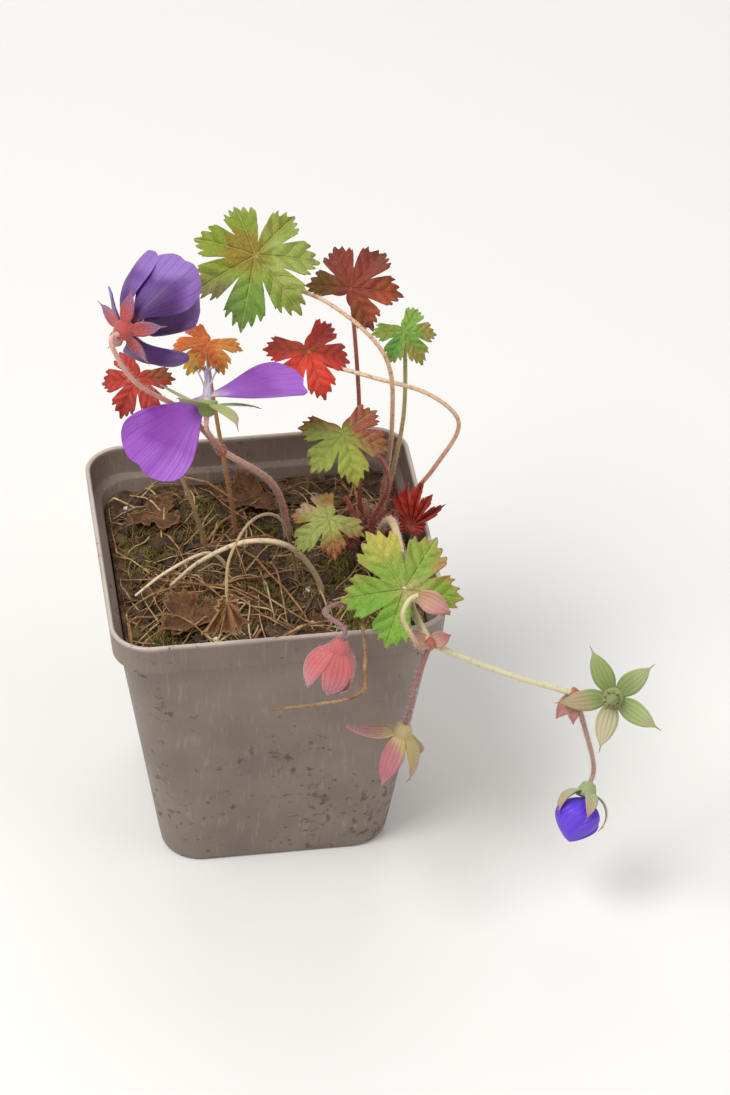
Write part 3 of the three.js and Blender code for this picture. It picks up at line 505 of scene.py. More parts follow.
def leafHeight(shape, turn, share, radius):
    place = turn / math.radians(shape["spread"])
    lobe = round(place)
    off = min(1, 2 * abs(place - lobe))
    sag = (chance(shape["seed"], lobe) - 0.5) * 0.35 * (1 - off ** 2)
    bend = shape["crease"] * (off ** 1.25) - (shape["droop"] - sag) * share
    wavy = shape["wave"] * math.sin(turn * 11 + shape["seed"] * 2) * share ** 3
    wavy += 0.5 * shape["wave"] * math.sin(turn * 23 + shape["seed"]) * share ** 4
    curl = -shape["curl"] * ramp(share, 0.6, 1.05) * (1 - 0.5 * off)
    aside = off * math.radians(shape["spread"]) / 2
    forward = share * math.cos(aside) - 0.9 * share * math.sin(aside)
    quilt = 0.014 * (1 - math.cos(2 * math.pi * shape["sideVeins"] * (forward + 0.035))) / 2
    quilt *= ramp(share, 0.1, 0.4) * min(1, off * 4)
    return radius * (share * bend + wavy + curl + quilt)


def addLeafBlade(bm, leaf, perLobe=44, rings=20, crumple=0.0):
    # a blade spun flat from a line of vertices, then shaped: it ends on the toothed margin
    shape = {**leafShape, **leaf}
    radius = shape["radius"]
    spokes = perLobe * shape["lobes"] + 24
    fresh = spinLine([(i / rings, 0, 0) for i in range(rings + 1)], spokes, 1e-5)
    toEdge = fresh.verts.layers.float.new("toEdge")
    for vert in fresh.verts:
        ring = vert.co.length
        turn = math.atan2(vert.co.y, vert.co.x)
        vert[toEdge] = ring
        share = ring * edgeShare(shape, turn)
        height = leafHeight(shape, turn, share, radius)
        place = Vector((-math.sin(turn) * share * radius, math.cos(turn) * share * radius, height))
        if crumple:
            place += noise.noise_vector(place * 0.16 + Vector((shape["seed"], 3, 7))) * crumple * ring
        vert.co = place
    spread = math.radians(shape["spread"])

    def mapPlace(face, vert):
        middle = face.calc_center_median()
        lobe = round(math.atan2(-middle.x, middle.y) / spread)
        reach = math.hypot(vert.co.x, vert.co.y) / radius
        off = math.atan2(-vert.co.x, vert.co.y) - lobe * spread
        off = (off + math.pi) % (2 * math.pi) - math.pi
        return (math.sin(off) * reach, math.cos(off) * reach)

    mapBlade(fresh, mapPlace)
    bmesh.ops.recalc_face_normals(fresh, faces=fresh.faces)
    if sum(face.normal.z for face in fresh.faces) < 0:
        bmesh.ops.reverse_faces(fresh, faces=fresh.faces)
    bmesh.ops.transform(fresh, matrix=placeFrame(shape["centre"], shape["normal"], shape["tip"]),
                        verts=fresh.verts)
    pour(bm, fresh)


leaves = {  # place and shape; the stalk's path; tints as (angle, share of radius, reach, tone, most)
    "leaf_green_high": dict(
        look="greenHigh", slot="leaf_green", stalkTone=("#a8563e", "#d9b890"),
        centre=(1.5, 25, 162), normal=(-0.05, -0.6, 0.78), tip=(-0.25, -0.7, -0.5),
        radius=20.5, seed=1, spread=50, lobes=7, droop=0.26,
        tints=[(-104, 0.5, 0.5, "#7b8a1c", 0.8), (-105, 0.2, 0.3, "#8a6a20", 0.8),
               (-32, 0.8, 0.42, "#8e8450", 0.6), (-29, 0.66, 0.2, "#6e4c3a", 0.7),
               (2, 0.8, 0.5, "#5c8a33", 0.7), (95, 0.6, 0.5, "#a5b060", 0.5)],
        stalk=[(33, 9, 79), (33.4, 8.8, 87), (36, 7, 116), (34, 9, 138), (20, 18, 150), (6, 25, 154)]),
    "leaf_bronze": dict(
        look="bronze", slot="leaf_bronze", stalkTone=("#8a3428", "#a8523e"),
        centre=(28, 31, 145), normal=(-0.2, -0.55, 0.8), tip=(0.5, 0.3, 0.6), radius=15, seed=2,
        tints=[(38, 0.25, 0.6, "#84302a", 0.75), (119, 0.7, 0.5, "#86652f", 0.8),
               (-79, 0.8, 0.45, "#a64c28", 0.75)],
        stalk=[(28, 11.5, 79), (28.2, 12.5, 86), (29, 21, 115), (28.5, 31, 138)]),
    "leaf_red": dict(
        look="red", slot="leaf_red", stalkTone=("#b0563c", "#dcc09a"),
        centre=(14.5, 19, 134), normal=(0.1, -0.6, 0.75), tip=(0.3, -0.6, -0.7), radius=13.5, seed=3,
        tints=[(-148, 0.5, 0.45, "#a4503e", 0.6), (-21, 0.5, 0.55, "#dc4634", 0.85),
               (92, 0.62, 0.5, "#8c342e", 0.7)],
        stalk=[(36, 6.5, 79), (37.4, 6.5, 86), (48, 6, 102), (54, 6, 116), (47, 8, 124),
               (30, 14, 128), (17, 20, 130)]),
    "leaf_orange": dict(
        look="orange", slot="leaf_orange", stalkTone=("#8c5a34", "#c58a4e"),
        centre=(-11, 30, 131), normal=(0.05, -0.1, 1), tip=(-0.6, -0.8, 0), radius=11, seed=4,
        tints=[(-31, 0.5, 0.45, "#c86a30", 0.8), (-129, 0.6, 0.4, "#a83a1e", 0.85),
               (102, 0.6, 0.5, "#e69a44", 0.8), (-4, 0.9, 0.4, "#e6b450", 0.8)],
        stalk=[(-6, 14, 68), (-6, 14, 80), (-9, 20, 105), (-11, 29, 124)]),
    "leaf_scarlet_left": dict(
        look="scarlet", slot="leaf_red", stalkTone=("#7d5a36", "#b08a58"),
        centre=(-31, 21, 128), normal=(-0.25, -0.6, 0.75), tip=(-0.5, -0.5, -0.6), radius=11.5, seed=5,
        tints=[(17, 0.1, 0.6, "#aa322a", 0.6), (142, 0.7, 0.45, "#7a5c2e", 0.7),
               (9, 0.8, 0.35, "#7e2a28", 0.5)],
        stalk=[(-15, 5, 68), (-15, 5, 80), (-20, 8, 100), (-30, 20, 122)]),
    "leaf_olive": dict(
        look="olive", slot="leaf_olive", stalkTone=("#96342a", "#a8524a"),
        centre=(21.5, -2, 121), normal=(-0.05, -0.5, 0.87), tip=(0.15, -0.75, -0.5), radius=14, seed=6,
        tints=[(-70, 0.6, 0.6, "#8ea04a", 0.8), (95, 0.6, 0.5, "#8c3c34", 0.85),
               (-6, 0.72, 0.55, "#94a23e", 0.8), (160, 0.7, 0.4, "#93433a", 0.8),
               (52, 0.8, 0.35, "#84583a", 0.6)],
        stalk=[(28.4, 2.6, 79), (29.6, 1.6, 87), (34, -2, 104), (30, -1.5, 114), (23.5, 0, 117)]),
    "leaf_olive_low": dict(
        look="olive", slot="leaf_olive", stalkTone=("#96342a", "#b05a44"),
        centre=(16, -15, 103), normal=(-0.1, -0.35, 0.93), tip=(-0.8, -0.5, -0.1), radius=12, seed=7,
        tints=[(-79, 0.7, 0.4, "#a58a70", 0.7), (5, 0.8, 0.55, "#84984a", 0.85),
               (0, 0.1, 0.5, "#98a058", 0.7), (43, 1.0, 0.4, "#8e3c34", 0.7),
               (142, 0.6, 0.5, "#8a9050", 0.6)],
        stalk=[(25.2, 3.8, 79), (24.8, 1.6, 86), (23.5, -7, 96), (18, -13, 97.5)]),
    "leaf_small_green": dict(
        look="smallGreen", slot="leaf_green", stalkTone=("#9a4a34", "#a9a86a"),
        centre=(40.5, 18, 139), normal=(0.1, -0.5, 0.85), tip=(0.4, -0.6, -0.5), radius=10, seed=8,
        tints=[(112, 0.5, 0.5, "#7ea542", 0.6), (66, 0.8, 0.4, "#9a7c3c", 0.7),
               (-70, 0.65, 0.45, "#4f8a40", 0.5)],
        stalk=[(34.6, 11.2, 79), (35.4, 12, 86), (40.5, 16, 112), (41, 19, 134)]),
    "leaf_red_young": dict(
        look="youngRed", slot="leaf_red", stalkTone=("#8f2c24", "#b0483a"),
        centre=(40, -5, 90.5), normal=(-0.6, -0.75, 0.25), tip=(0.14, 0.1, 1), radius=13.5, seed=9,
        spread=20, crease=0.3, droop=0.05, tints=[(10, 0.5, 0.4, "#c03c2e", 0.8)],
        stalk=[(34.4, 2.6, 79), (35.2, 1.9, 84), (38, -1.8, 87), (39.6, -4.1, 88.8)]),
    "leaf_trailing": dict(
        look="trailing", slot="leaf_green", stalkTone=("#c8b890", "#b8c088"),
        centre=(31, -50, 105), normal=(-0.05, -0.7, 0.7), tip=(-0.46, 0.63, 0.63),
        radius=18, spread=65, seed=10,
        tints=[(-24, 0.3, 0.5, "#7e9a3e", 0.6), (-10, 0.8, 0.35, "#b3a44a", 0.8),
               (-94, 0.75, 0.3, "#a8664a", 0.6), (119, 0.85, 0.55, "#74a834", 0.85),
               (85, 0.7, 0.5, "#6b9a34", 0.75), (150, 0.5, 0.4, "#7aa83c", 0.6),
               (-139, 0.15, 0.25, "#b49a70", 0.6)],
        stalk=[(32.4, -37.6, 105.4), (32.6, -39.6, 108.4), (32, -46, 106.6)]),
}


def tintSpots(leaf):
    # a leaf's tints, from angles in degrees off its middle lobe and shares of its radius, in millimetres
    onLeaf = placeFrame(leaf["centre"], leaf["normal"], leaf["tip"])
    spots = []
    for angle, out, reach, tone, most in leaf.get("tints", ()):
        turn, away = math.radians(angle), out * leaf["radius"]
        spot = onLeaf @ Vector((-math.sin(turn) * away, math.cos(turn) * away, 0))
        spots.append((spot, reach * leaf["radius"], tone, most))
    return spots


for name, leaf in leaves.items():
    bm = bmesh.new()
    addLeafBlade(bm, leaf)
    skin = leafMaterial(name + "LivingLeaf", leafLooks[leaf["look"]], leaf["radius"], tints=tintSpots(leaf))
    finishPiece(bm, name + "_blade", skin, [name], leaf["slot"], solidify=leafShape["thickness"])
    bm = bmesh.new()
    path = smoothPath(leaf["stalk"] + [leaf["centre"]])
    addTube(bm, path, leafShape["stalkRadii"], 3)
    finishPiece(bm, name + "_stalk", stemMaterial(name + "DownyStalk", *leaf["stalkTone"], "#8a3a2c"),
                [name], leaf["slot"])
print("leaves made:", len(leaves))


# petals and sepals

def leaningPlace(shape):
    # wraps a flat place round the axis, leaning from leanBase at the foot to leanTip at the tip
    base = math.radians(shape["leanBase"])
    turn = math.radians(shape["leanTip"] - shape["leanBase"]) or 1e-6
    length, foot = shape["length"], shape["footRadius"]

    def place(x, y, raised=0.0):
        lean = base + turn * y / length
        out = foot + length / turn * (math.cos(base) - math.cos(lean))
        height = shape["foot"] + length / turn * (math.sin(lean) - math.sin(base))
        around = x / max(out, foot)
        lifted = shape.get("lift", 0) * x / (shape["width"] / 2) + raised
        reach = out - lifted * math.cos(lean)
        return Vector((reach * math.sin(around), reach * math.cos(around), height + lifted * math.sin(lean)))
    return place


sepalWidths = [(0, 0.5), (0.3, 0.97), (0.5, 1.0), (0.75, 0.66), (0.93, 0.14), (1, 0.03)]


def addBlade(bm, shape, place, columns, rows, tipRound, matrix):
    # a petal or sepal from a grid: its columns fan out from the foot and its rows follow its length
    fresh = bmesh.new()
    bmesh.ops.create_grid(fresh, x_segments=columns, y_segments=rows, size=1)
    if tipRound:  # columns crowd towards the sides, and rows towards the tip
        for vert in fresh.verts:
            vert.co.x = math.sin(vert.co.x * math.pi / 2)
            vert.co.y = 2 * math.sin((vert.co.y + 1) / 4 * math.pi) - 1
    mapBlade(fresh, lambda face, vert: (vert.co.x, (vert.co.y + 1) / 2))
    half = shape["width"] / 2
    for vert in fresh.verts:
        s, t = vert.co.x, (vert.co.y + 1) / 2
        if tipRound:  # the columns end on a round tip with a shallow notch
            wide = 0.09 + 0.91 * math.sin(math.pi / 2 * t) ** 1.6
            t *= 0.73 + 0.27 * math.sqrt(max(0, 1 - s * s)) - 0.035 * math.exp(-(s / 0.17) ** 2)
        else:
            wide = along(sepalWidths, t)
        seed = shape.get("seed", 0)
        waves = math.sin(s * 5 + seed) + 0.5 * math.sin(s * 11 + seed * 3)
        ruffle = shape.get("ruffle", 0) * waves * t ** 3
        ruffle += shape.get("cup", 0) * s * s * math.sin(math.pi * min(1, t * 1.1))
        vert.co = place(s * half * wide, t * shape["length"], ruffle)
    bmesh.ops.transform(fresh, matrix=matrix, verts=fresh.verts)
    pour(bm, fresh)


def addTurned(bm, profile, matrix, sides, rough):
    # a cup or knob spun from its half profile of (radius, height) pairs
    fresh = spinLine([(r, 0, z) for r, z in profile], sides, 1e-4)
    bmesh.ops.recalc_face_normals(fresh, faces=fresh.faces)
    low, top = profile[0][1], profile[-1][1]
    mapBlade(fresh, lambda face, vert: (math.atan2(vert.co.y, vert.co.x) / math.pi * 5,
                                        0.12 + 0.2 * (vert.co.z - low) / (top - low)))
    for vert in fresh.verts:
        vert.co += vert.normal * rough * noise.noise(vert.co * 1.3)
    bmesh.ops.transform(fresh, matrix=matrix, verts=fresh.verts)
    pour(bm, fresh)


def flowerFrame(part):
    axis = Vector(part["axis"]).normalized()
    return placeFrame(part["origin"], axis, (0, -1, 0) if abs(axis.z) > 0.9 else (0, 0, 1))


cupProfile = [  # (radius, height)
    (0, -4), (1.1, -4), (1.75, -3.6), (2.35, -2.2), (2.7, -0.8), (2.65, -0.1), (2.2, 0.05), (0, 0.05),
]


def sepalShape(sepals, i):
    leanBase, leanTip = sepals["leans"][i]
    return dict(width=sepals["width"], footRadius=2.0, foot=-1.2, cup=-sepals.get("cup", 0.5),
                length=sepals["length"] * (0.95 + 0.1 * chance(sepals["seed"], i)),
                leanBase=leanBase, leanTip=leanTip + 14 * (chance(sepals["seed"], i + 9) - 0.5))


def sepalFrame(part, i):
    turn = (i + part["sepals"].get("offset", 0)) / 5 * 2 * math.pi
    return flowerFrame(part) @ Matrix.Rotation(turn, 4, "Z")


def sepalSpots(part):
    # a calyx's tints, from a sepal's number and a share of its length, in millimetres
    spots = []
    for i, share, reach, tone, most in part.get("tints", ()):
        shape = sepalShape(part["sepals"], i)
        spot = sepalFrame(part, i) @ leaningPlace(shape)(0, share * shape["length"])
        spots.append((spot, reach, tone, most))
    return spots


# down and awns

def stamp(bm, kept, matrix):
    # adds a copy of a kept mesh, put in place by the matrix
    copy = kept.copy()
    copy.transform(matrix)
    bm.from_mesh(copy)
    bpy.data.meshes.remove(copy)


down = dict(length=0.8, thickness=0.045, perRing=5, kinds=4, ringEvery=0.8, onCalyx=260, seed=71)
awn = dict(length=1.4, root=1.2, radii=[(0, 0.13), (0.5, 0.18), (1, 0.06)])
filament = dict(foot=1.3, reach=2.4, uneven=0.8, height=3.6, radii=[(0, 0.28), (0.8, 0.16), (1, 0.3)])


def makeHair(bm, matrix):
    # one tapered hair that stands on the matrix's Z axis, from a three-sided cone
    bmesh.ops.create_cone(bm, cap_ends=True, segments=3, radius1=down["thickness"], radius2=0.012, depth=1,
                          matrix=matrix @ Matrix.Translation((0, 0, 0.42)))


def hairRings():
    # a few kinds of hairs round a stem of radius 1, from which all the others are scaled
    rng = random.Random(down["seed"])
    kinds = []
    for _ in range(down["kinds"]):
        one = bmesh.new()
        for _ in range(down["perRing"]):
            out = Matrix.Rotation(rng.uniform(0, 6.28), 4, "Z")
            out = out @ Matrix.Translation((0.9, 0, rng.uniform(-0.5, 0.5)))
            tilt = Matrix.Rotation(math.pi / 2 - rng.uniform(-0.3, 0.5), 4, "Y")
            makeHair(one, out @ tilt @ Matrix.Scale(rng.uniform(0.7, 1.4), 4, (0, 0, 1)))
        kinds.append(keepMesh(one, "hairRing"))
    return kinds


def addDownAlong(bm, kinds, points, radii, seed):
    # rings of hairs along a stem, each turned by chance
    rng = random.Random(seed)
    last = len(points) - 1
    for i in range(last):
        step = points[i + 1] - points[i]
        count = max(1, round(step.length / down["ringEvery"]))
        for k in range(count):
            share = (k + rng.random()) / count
            tip = (rng.uniform(-1, 1), rng.uniform(-1, 1), rng.uniform(-1, 1))
            here = placeFrame(points[i].lerp(points[i + 1], share), step, tip)
            stamp(bm, rng.choice(kinds), here @ Matrix.Scale(along(radii, (i + share) / last), 4))


def makeCalyx(name, part, material, node, slotName):
    # the cup with the young fruit in it, the sepals, the hairs that stand out from them, and the awns
    bm = bmesh.new()
    addTurned(bm, cupProfile, flowerFrame(part), 28, 0.12)
    if "core" in part:
        core = part["core"]
        beak = [(0, 0), (core * 0.5, 0.4), (core * 0.56, core * 0.7), (core * 0.4, core * 1.2),
                (core * 0.14, core * 1.6), (0.15, core * 1.9), (0, core * 1.95)]
        addTurned(bm, beak, flowerFrame(part), 20, 0.15)
    for i in range(5):
        shape = sepalShape(part["sepals"], i)
        addBlade(bm, shape, leaningPlace(shape), 10, 20, False, sepalFrame(part, i))
    rng = random.Random(part["sepals"]["seed"])
    inner = flowerFrame(part) @ Vector((0, 0, 6))
    bm.normal_update()
    bm.faces.ensure_lookup_table()
    hairs = bmesh.new()
    hair = bmesh.new()
    makeHair(hair, Matrix.Identity(4))
    hair = keepMesh(hair, "hair")
    for _ in range(down["onCalyx"]):
        face = rng.choice(bm.faces)
        place = face.calc_center_median()
        out = face.normal if face.normal.dot(place - inner) > 0 else -face.normal
        out = out + Vector((rng.uniform(-0.4, 0.4), rng.uniform(-0.4, 0.4), rng.uniform(-0.4, 0.4)))
        here = placeFrame(place, out, (rng.uniform(-1, 1), rng.uniform(-1, 1), 0.3))
        stamp(hairs, hair, here @ Matrix.Scale(down["length"] * rng.uniform(0.6, 1.3), 4, (0, 0, 1)))
    bpy.data.meshes.remove(hair)
    finishPiece(bm, name, material, [node], slotName, solidify=0.3)
    finishPiece(hairs, name + "Down", silveryDown, (), slotName)
    awns = bmesh.new()
    for i in range(5):
        shape = sepalShape(part["sepals"], i)
        place = leaningPlace(shape)
        reaches = [shape["length"] + out for out in (-awn["root"], 0, awn["length"])]
        addTube(awns, [sepalFrame(part, i) @ place(0, reach) for reach in reaches], awn["radii"], 1)
    for i in range(part.get("filaments", 0)):  # left standing round the young fruit when the petals fall
        turn = flowerFrame(part) @ Matrix.Rotation(i / part["filaments"] * 2 * math.pi, 4, "Z")
        reach = filament["reach"] + filament["uneven"] * chance(part["sepals"]["seed"], i)
        height = filament["height"]
        path = [(filament["foot"], 0, 0), (reach * 0.7, 0.3, height / 2), (reach, 0, height)]
        addTube(awns, smoothPath([turn @ Vector(p) for p in path], 4), filament["radii"], 1)
    finishPiece(awns, name + "Awns", awnTissue, (), slotName)


# plant hairs: pale and dry, so that the down reads as a fine silver edge
silveryDown = litterMaterial("silveryDown", ("#cbb8a8", "#e2d6c8", "#f2ece2"), 600.0, 0.5, 0.00005)
awnTissue = stemMaterial("reddishAwn", "#8e6a50", "#a05a50", "#7a4638")

# flowers: a lean is an angle from the flower's axis, first at the foot and then at the tip
sideFlower = dict(
    origin=(-35.5, -3, 161.5), axis=(0.66, 0.74, -0.1),
    petals=dict(length=23.5, width=19, footRadius=1.7, foot=1.0, lift=1.3, ruffle=0.5, cup=0.5),
    leans=[(54, 26), (33, 0), (80, 10), (56, 30), (60, 0)], offset=0.3,
    sepals=dict(length=8.5, width=4, leans=[(66, 76)] * 5, seed=41),
)
lowFlower = dict(
    origin=(-15, -4, 137), axis=(0.1, 0.6, 0.8),
    petals=[
        dict(towards=(-0.75, -0.35, -0.55), face=(-0.1, -0.75, 0.65), arch=-0.05, seed=1),
        dict(towards=(1, 0.1, 0.32), face=(-0.1, 0.15, 0.98), arch=-0.1, seed=3),
    ],
    length=26.5, width=21, foot=1.4,
    sepals=dict(length=12.5, width=6.2, leans=[(80, 150), (76, 100), (76, 100), (62, 70), (76, 96)],
                offset=0.6, seed=44),
)
calyces = {  # tints as (sepal, share of its length, reach in millimetres, tone, most)
    "calyx_pink_upper": dict(
        origin=(12.5, -58, 92.8), axis=(-0.28, 0, -0.96), core=5.5, slot="calyx_pink",
        tones=("#b45c54", "#c46064", "#c67a82", "#963e48"),
        sepals=dict(length=15, width=7, leans=[(56, -36)] * 5, seed=51, cup=0.9)),
    "calyx_pink_lower": dict(
        origin=(29.5, -58, 62), axis=(-0.3, -0.05, -0.95), core=4.5, slot="calyx_salmon", filaments=7,
        tones=("#b9b47a", "#b8946a", "#b87c70", "#94604c"),
        tints=[(0, 0.55, 6.5, "#a8586e", 0.8), (1, 0.7, 7, "#b07f80", 0.7), (2, 0.5, 6, "#a85a6c", 0.7),
               (4, 0.35, 6, "#b3a55c", 0.85), (4, 0.85, 5, "#b08a50", 0.8), (3, 0.5, 6, "#a89a58", 0.6)],
        sepals=dict(length=14, width=5.8, leans=[(56, 8), (62, 112), (60, 40), (58, 22), (54, -6)],
                    offset=0.3, seed=52)),
    "calyx_star": dict(
        origin=(84.7, -65.5, 75.3), axis=(-0.26, -0.82, 0.51), core=2.6, slot="calyx_green", filaments=9,
        tones=("#7f9150", "#8c9c5c", "#a3ac76", "#687a3c"),
        tints=[(2, 0.6, 6.5, "#b9a988", 0.85), (1, 0.75, 6, "#b08a74", 0.7), (3, 0.9, 3, "#a58a5c", 0.5),
               (0, 0.5, 5, "#7f974a", 0.5)],
        sepals=dict(length=12.5, width=5.8, leans=[(62, 80)] * 5, seed=53, offset=0.39, cup=0.4)),
}
bud = dict(
    origin=(79.6, -60.5, 37), axis=(-0.42, -0.62, -0.66),
    sepals=dict(length=10, width=3.6, leans=[(84, -14)] * 5, offset=0.5, seed=54),
    petals=dict(radius=6.1, length=12.5, foot=0.3, twist=1.6),
)

violet = petalMaterial("violetSatinPetal", ("#8c48ac", "#84389e", "#9754b6"), "#5e2484", "#c2b4b4")
violetBack = petalMaterial("violetPetalBack", ("#743f9c", "#8045a6", "#986ab8"), "#54277e", "#947ca4")
# painted shade: the side flower's petals are darker copies of the violet petal, for the shade that falls on
# them
shaded = petalMaterial("shadedIndigoPetalFace", ("#562c7c", "#623488", "#8256a2"), "#3e1c66", "#947ca4")
shadedBack = petalMaterial("litAndShadedIndigoPetalBack", ("#4c2668", "#542a72", "#8660a8"), "#3a1a5c", "#7e5070", [
    # painted highlight: the two lavender spots on the upper petals; painted shade: the dark spot lower down
    ((-33, 4, 176), 9, "#8260a8", 0.7), ((-22, 8, 177), 10, "#8e6cb2", 0.8),
    ((-24, 2, 160), 9, "#41204f", 0.85)])

bm = bmesh.new()
for i, (leanBase, leanTip) in enumerate(sideFlower["leans"]):
    petal = {**sideFlower["petals"], "seed": i * 1.7, "leanBase": leanBase, "leanTip": leanTip}
    petal["length"] *= 0.95 + 0.06 * chance(61, i)
    turn = Matrix.Rotation((i + sideFlower["offset"]) / 5 * 2 * math.pi, 4, "Z")
    addBlade(bm, petal, leaningPlace(petal), 26, 34, True, flowerFrame(sideFlower) @ turn)
finishPiece(bm, "sideFlowerPetals", [shaded, shadedBack], ["flower_side_petals"], "petal", solidify=0.3)

redSepal = sepalMaterial("redDownySepal", "#b43e34", "#ac4444", "#8e5c7c", "#7e2c28")
makeCalyx("sideFlowerCalyx", sideFlower, redSepal, "flower_side_calyx", "calyx_red")

bm = bmesh.new()
for petal in lowFlower["petals"]:
    shape = dict(length=lowFlower["length"], width=lowFlower["width"], ruffle=0.45, seed=petal["seed"])
    foot = Vector(lowFlower["origin"]) + Vector(lowFlower["axis"]).normalized() * lowFlower["foot"]

    def archedPlace(x, y, raised):
        arched = petal["arch"] * (y / shape["length"]) ** 2 * shape["length"]
        return Vector((x, y, arched + 0.02 * x * x + raised))

    addBlade(bm, shape, archedPlace, 28, 36, True, placeFrame(foot, petal["face"], petal["towards"]))
finishPiece(bm, "lowFlowerPetals", [violet, violetBack], ["flower_low"], "petal", solidify=0.3)

greenSepal = sepalMaterial("greenDownySepal", "#84924a", "#939c54", "#aaa26c", "#68783a")
makeCalyx("lowFlowerCalyx", lowFlower, greenSepal, "flower_low", "calyx_green")

centre = dict(  # the pistil's column, the stamens' threads, and the tips of the stigma, as (radius, height)
    count=5, column=[(0, 1.25), (0.35, 1.15), (0.7, 0.75), (1, 0.5)], columnHeights=(0, 3, 5.4),
    threads=[(0.4, 0), (1.6, 3), (3, 5.6)], threadRadii=[(0, 0.3), (1, 0.18)],
    tips=[(0.2, 5.2), (0.9, 6.0), (1.3, 5.7)], tipRadii=[(0, 0.3), (1, 0.16)], tipSwing=0.2,
    anther=(0.55, 0.55, 1.0), antherAt=(3, 5.8), feet=dict(side=2.0, low=2.7),
)
stamenTissue = stemMaterial("palePistilTissue", "#c9c9a0", "#b9a6c8", "#9a7ab0")
antherTissue = litterMaterial("pollenyAnther", ("#5a4a78", "#7d7a5a", "#c9c07a"), 900.0)
for name, part in (("side", sideFlower), ("low", lowFlower)):
    bm = bmesh.new()
    turn = flowerFrame(part)
    foot = centre["feet"][name]
    column = [turn @ Vector((0, 0, z)) for z in [0.2] + [foot + height for height in centre["columnHeights"]]]
    addTube(bm, column, centre["column"], 2)
    for i in range(centre["count"]):
        angle = i / centre["count"] * 2 * math.pi

        def outAt(r, z, swing=0.0):
            return turn @ Vector((r * math.cos(angle + swing), r * math.sin(angle + swing), foot + z))

        addTube(bm, smoothPath([outAt(*spot) for spot in centre["threads"]], 4), centre["threadRadii"], 1)
        tip = [outAt(*spot) for spot in centre["tips"][:2]] + [outAt(*centre["tips"][2], centre["tipSwing"])]
        addTube(bm, tip, centre["tipRadii"], 1)
        anther = addBlob(bm, outAt(*centre["antherAt"]), centre["anther"], 2)
        for face in {face for vert in anther for face in vert.link_faces}:
            face.material_index = 1
    finishPiece(bm, name + "FlowerCentre", [stamenTissue, antherTissue], ["flower_" + name + "_centre"],
                "stamens")

for name, part in calyces.items():
    downySepal = sepalMaterial(name + "DownySepal", *part["tones"], sepalSpots(part))
    makeCalyx(name + "_sepals", part, downySepal, name, part["slot"])
paleSepal = sepalMaterial("paleBudSepal", "#84985a", "#a3a878", "#b8997c", "#728448")
makeCalyx("budSepals", bud, paleSepal, "bud_sepals", "calyx_green")

bm = bmesh.new()
bmesh.ops.create_uvsphere(bm, u_segments=60, v_segments=36, radius=1)
sortFaces(bm)
mapBlade(bm, lambda face, vert: (math.atan2(vert.co.y, vert.co.x) / math.pi * 2.5,
                                 0.55 + 0.45 * (vert.co.z + 1) / 2))
for vert in bm.verts:
    share = (vert.co.z + 1) / 2
    angle = math.atan2(vert.co.y, vert.co.x)
    wide = bud["petals"]["radius"] * math.sin(math.pi * min(0.999, max(0.001, share)) ** 0.85) ** 0.72
    fold = (5 * angle / (2 * math.pi) + 0.001) % 1  # each petal's edge laps over the next
    wide *= 0.88 + 0.19 * fold ** 0.6 if 0.02 < share < 0.98 else 1
    height = bud["petals"]["foot"] + bud["petals"]["length"] * share
    turned = angle + bud["petals"]["twist"] * share
    vert.co = Vector((wide * math.cos(turned), wide * math.sin(turned), height))
bmesh.ops.transform(bm, matrix=flowerFrame(bud), verts=bm.verts)
budViolet = petalMaterial("rolledBudPetal", ("#5a3ad0", "#5f3cd2", "#6a44d8"), "#3a1f9a", "#7a5ad8")
finishPiece(bm, "budPetals", budViolet, ["bud_petals"], "bud")
print("flowers made")


# stems

def behindCup(part, back):
    return tuple(Vector(part["origin"]) - Vector(part["axis"]).normalized() * back)


def pedicelEnd(part):
    return [behindCup(part, 7), behindCup(part, 3.2)]


fork = (-11, -1, 118)
flowerStalks = [  # path and radii
    ([(8, 12, 68), (8, 12, 80), (4, 8, 98), fork], [(0, 1.1), (1, 0.9)]),
    ([fork, (-20, -1, 131), (-35, -8, 149)] + pedicelEnd(sideFlower), [(0, 0.8), (0.85, 0.62), (1, 0.9)]),
    ([fork, (-14, -6, 126)] + pedicelEnd(lowFlower), [(0, 0.8), (0.8, 0.62), (1, 0.9)]),
]
bm = bmesh.new()
for path, radii in flowerStalks:
    addTube(bm, smoothPath(path), radii, 3)
addBlob(bm, fork, (1.5, 1.5, 1.8), 3, 0.25, 3)
finishPiece(bm, "flowerStalk", stemMaterial("rosyFlowerStalk", "#a85a48", "#dba898", "#b0604c"),
            ["flower_stalk"], "flower_stalk")

forks = dict(trailing=(32.4, -37, 105), lower=(37, -57, 92), end=(75, -62, 75))
trailing = dict(
    main=[(31.4, 0.6, 79), (31.8, -1.6, 87), (33, -14, 100), forks["trailing"], (33, -48, 99),
          forks["lower"]],
    runner=[forks["lower"], (56, -60, 82.6), forks["end"]],
    toUpper=[(33, -47, 99.5), (24, -43.5, 98), (10.5, -47, 98)] + pedicelEnd(calyces["calyx_pink_upper"]),
    toLower=[forks["lower"], (33.5, -58, 80)] + pedicelEnd(calyces["calyx_pink_lower"]),
    youngLeaf=[forks["lower"], (34, -60.5, 94), (31.8, -61, 97.9), (29.4, -58.5, 103.2), (31.5, -55.8, 106.3),
               (33.9, -55, 107)],
    toStar=[forks["end"], (80, -60, 71.5)] + pedicelEnd(calyces["calyx_star"]),
    toBud=[forks["end"], (78.5, -61.5, 62)] + pedicelEnd(bud),
    dryStyle=[(24, -43.5, 98), (20.5, -49, 95), (19.8, -57, 92), (19.2, -62, 87), (18.5, -64, 84),
              (14, -65, 82.3), (5, -65, 81.3), (-8.3, -63, 79)],
)
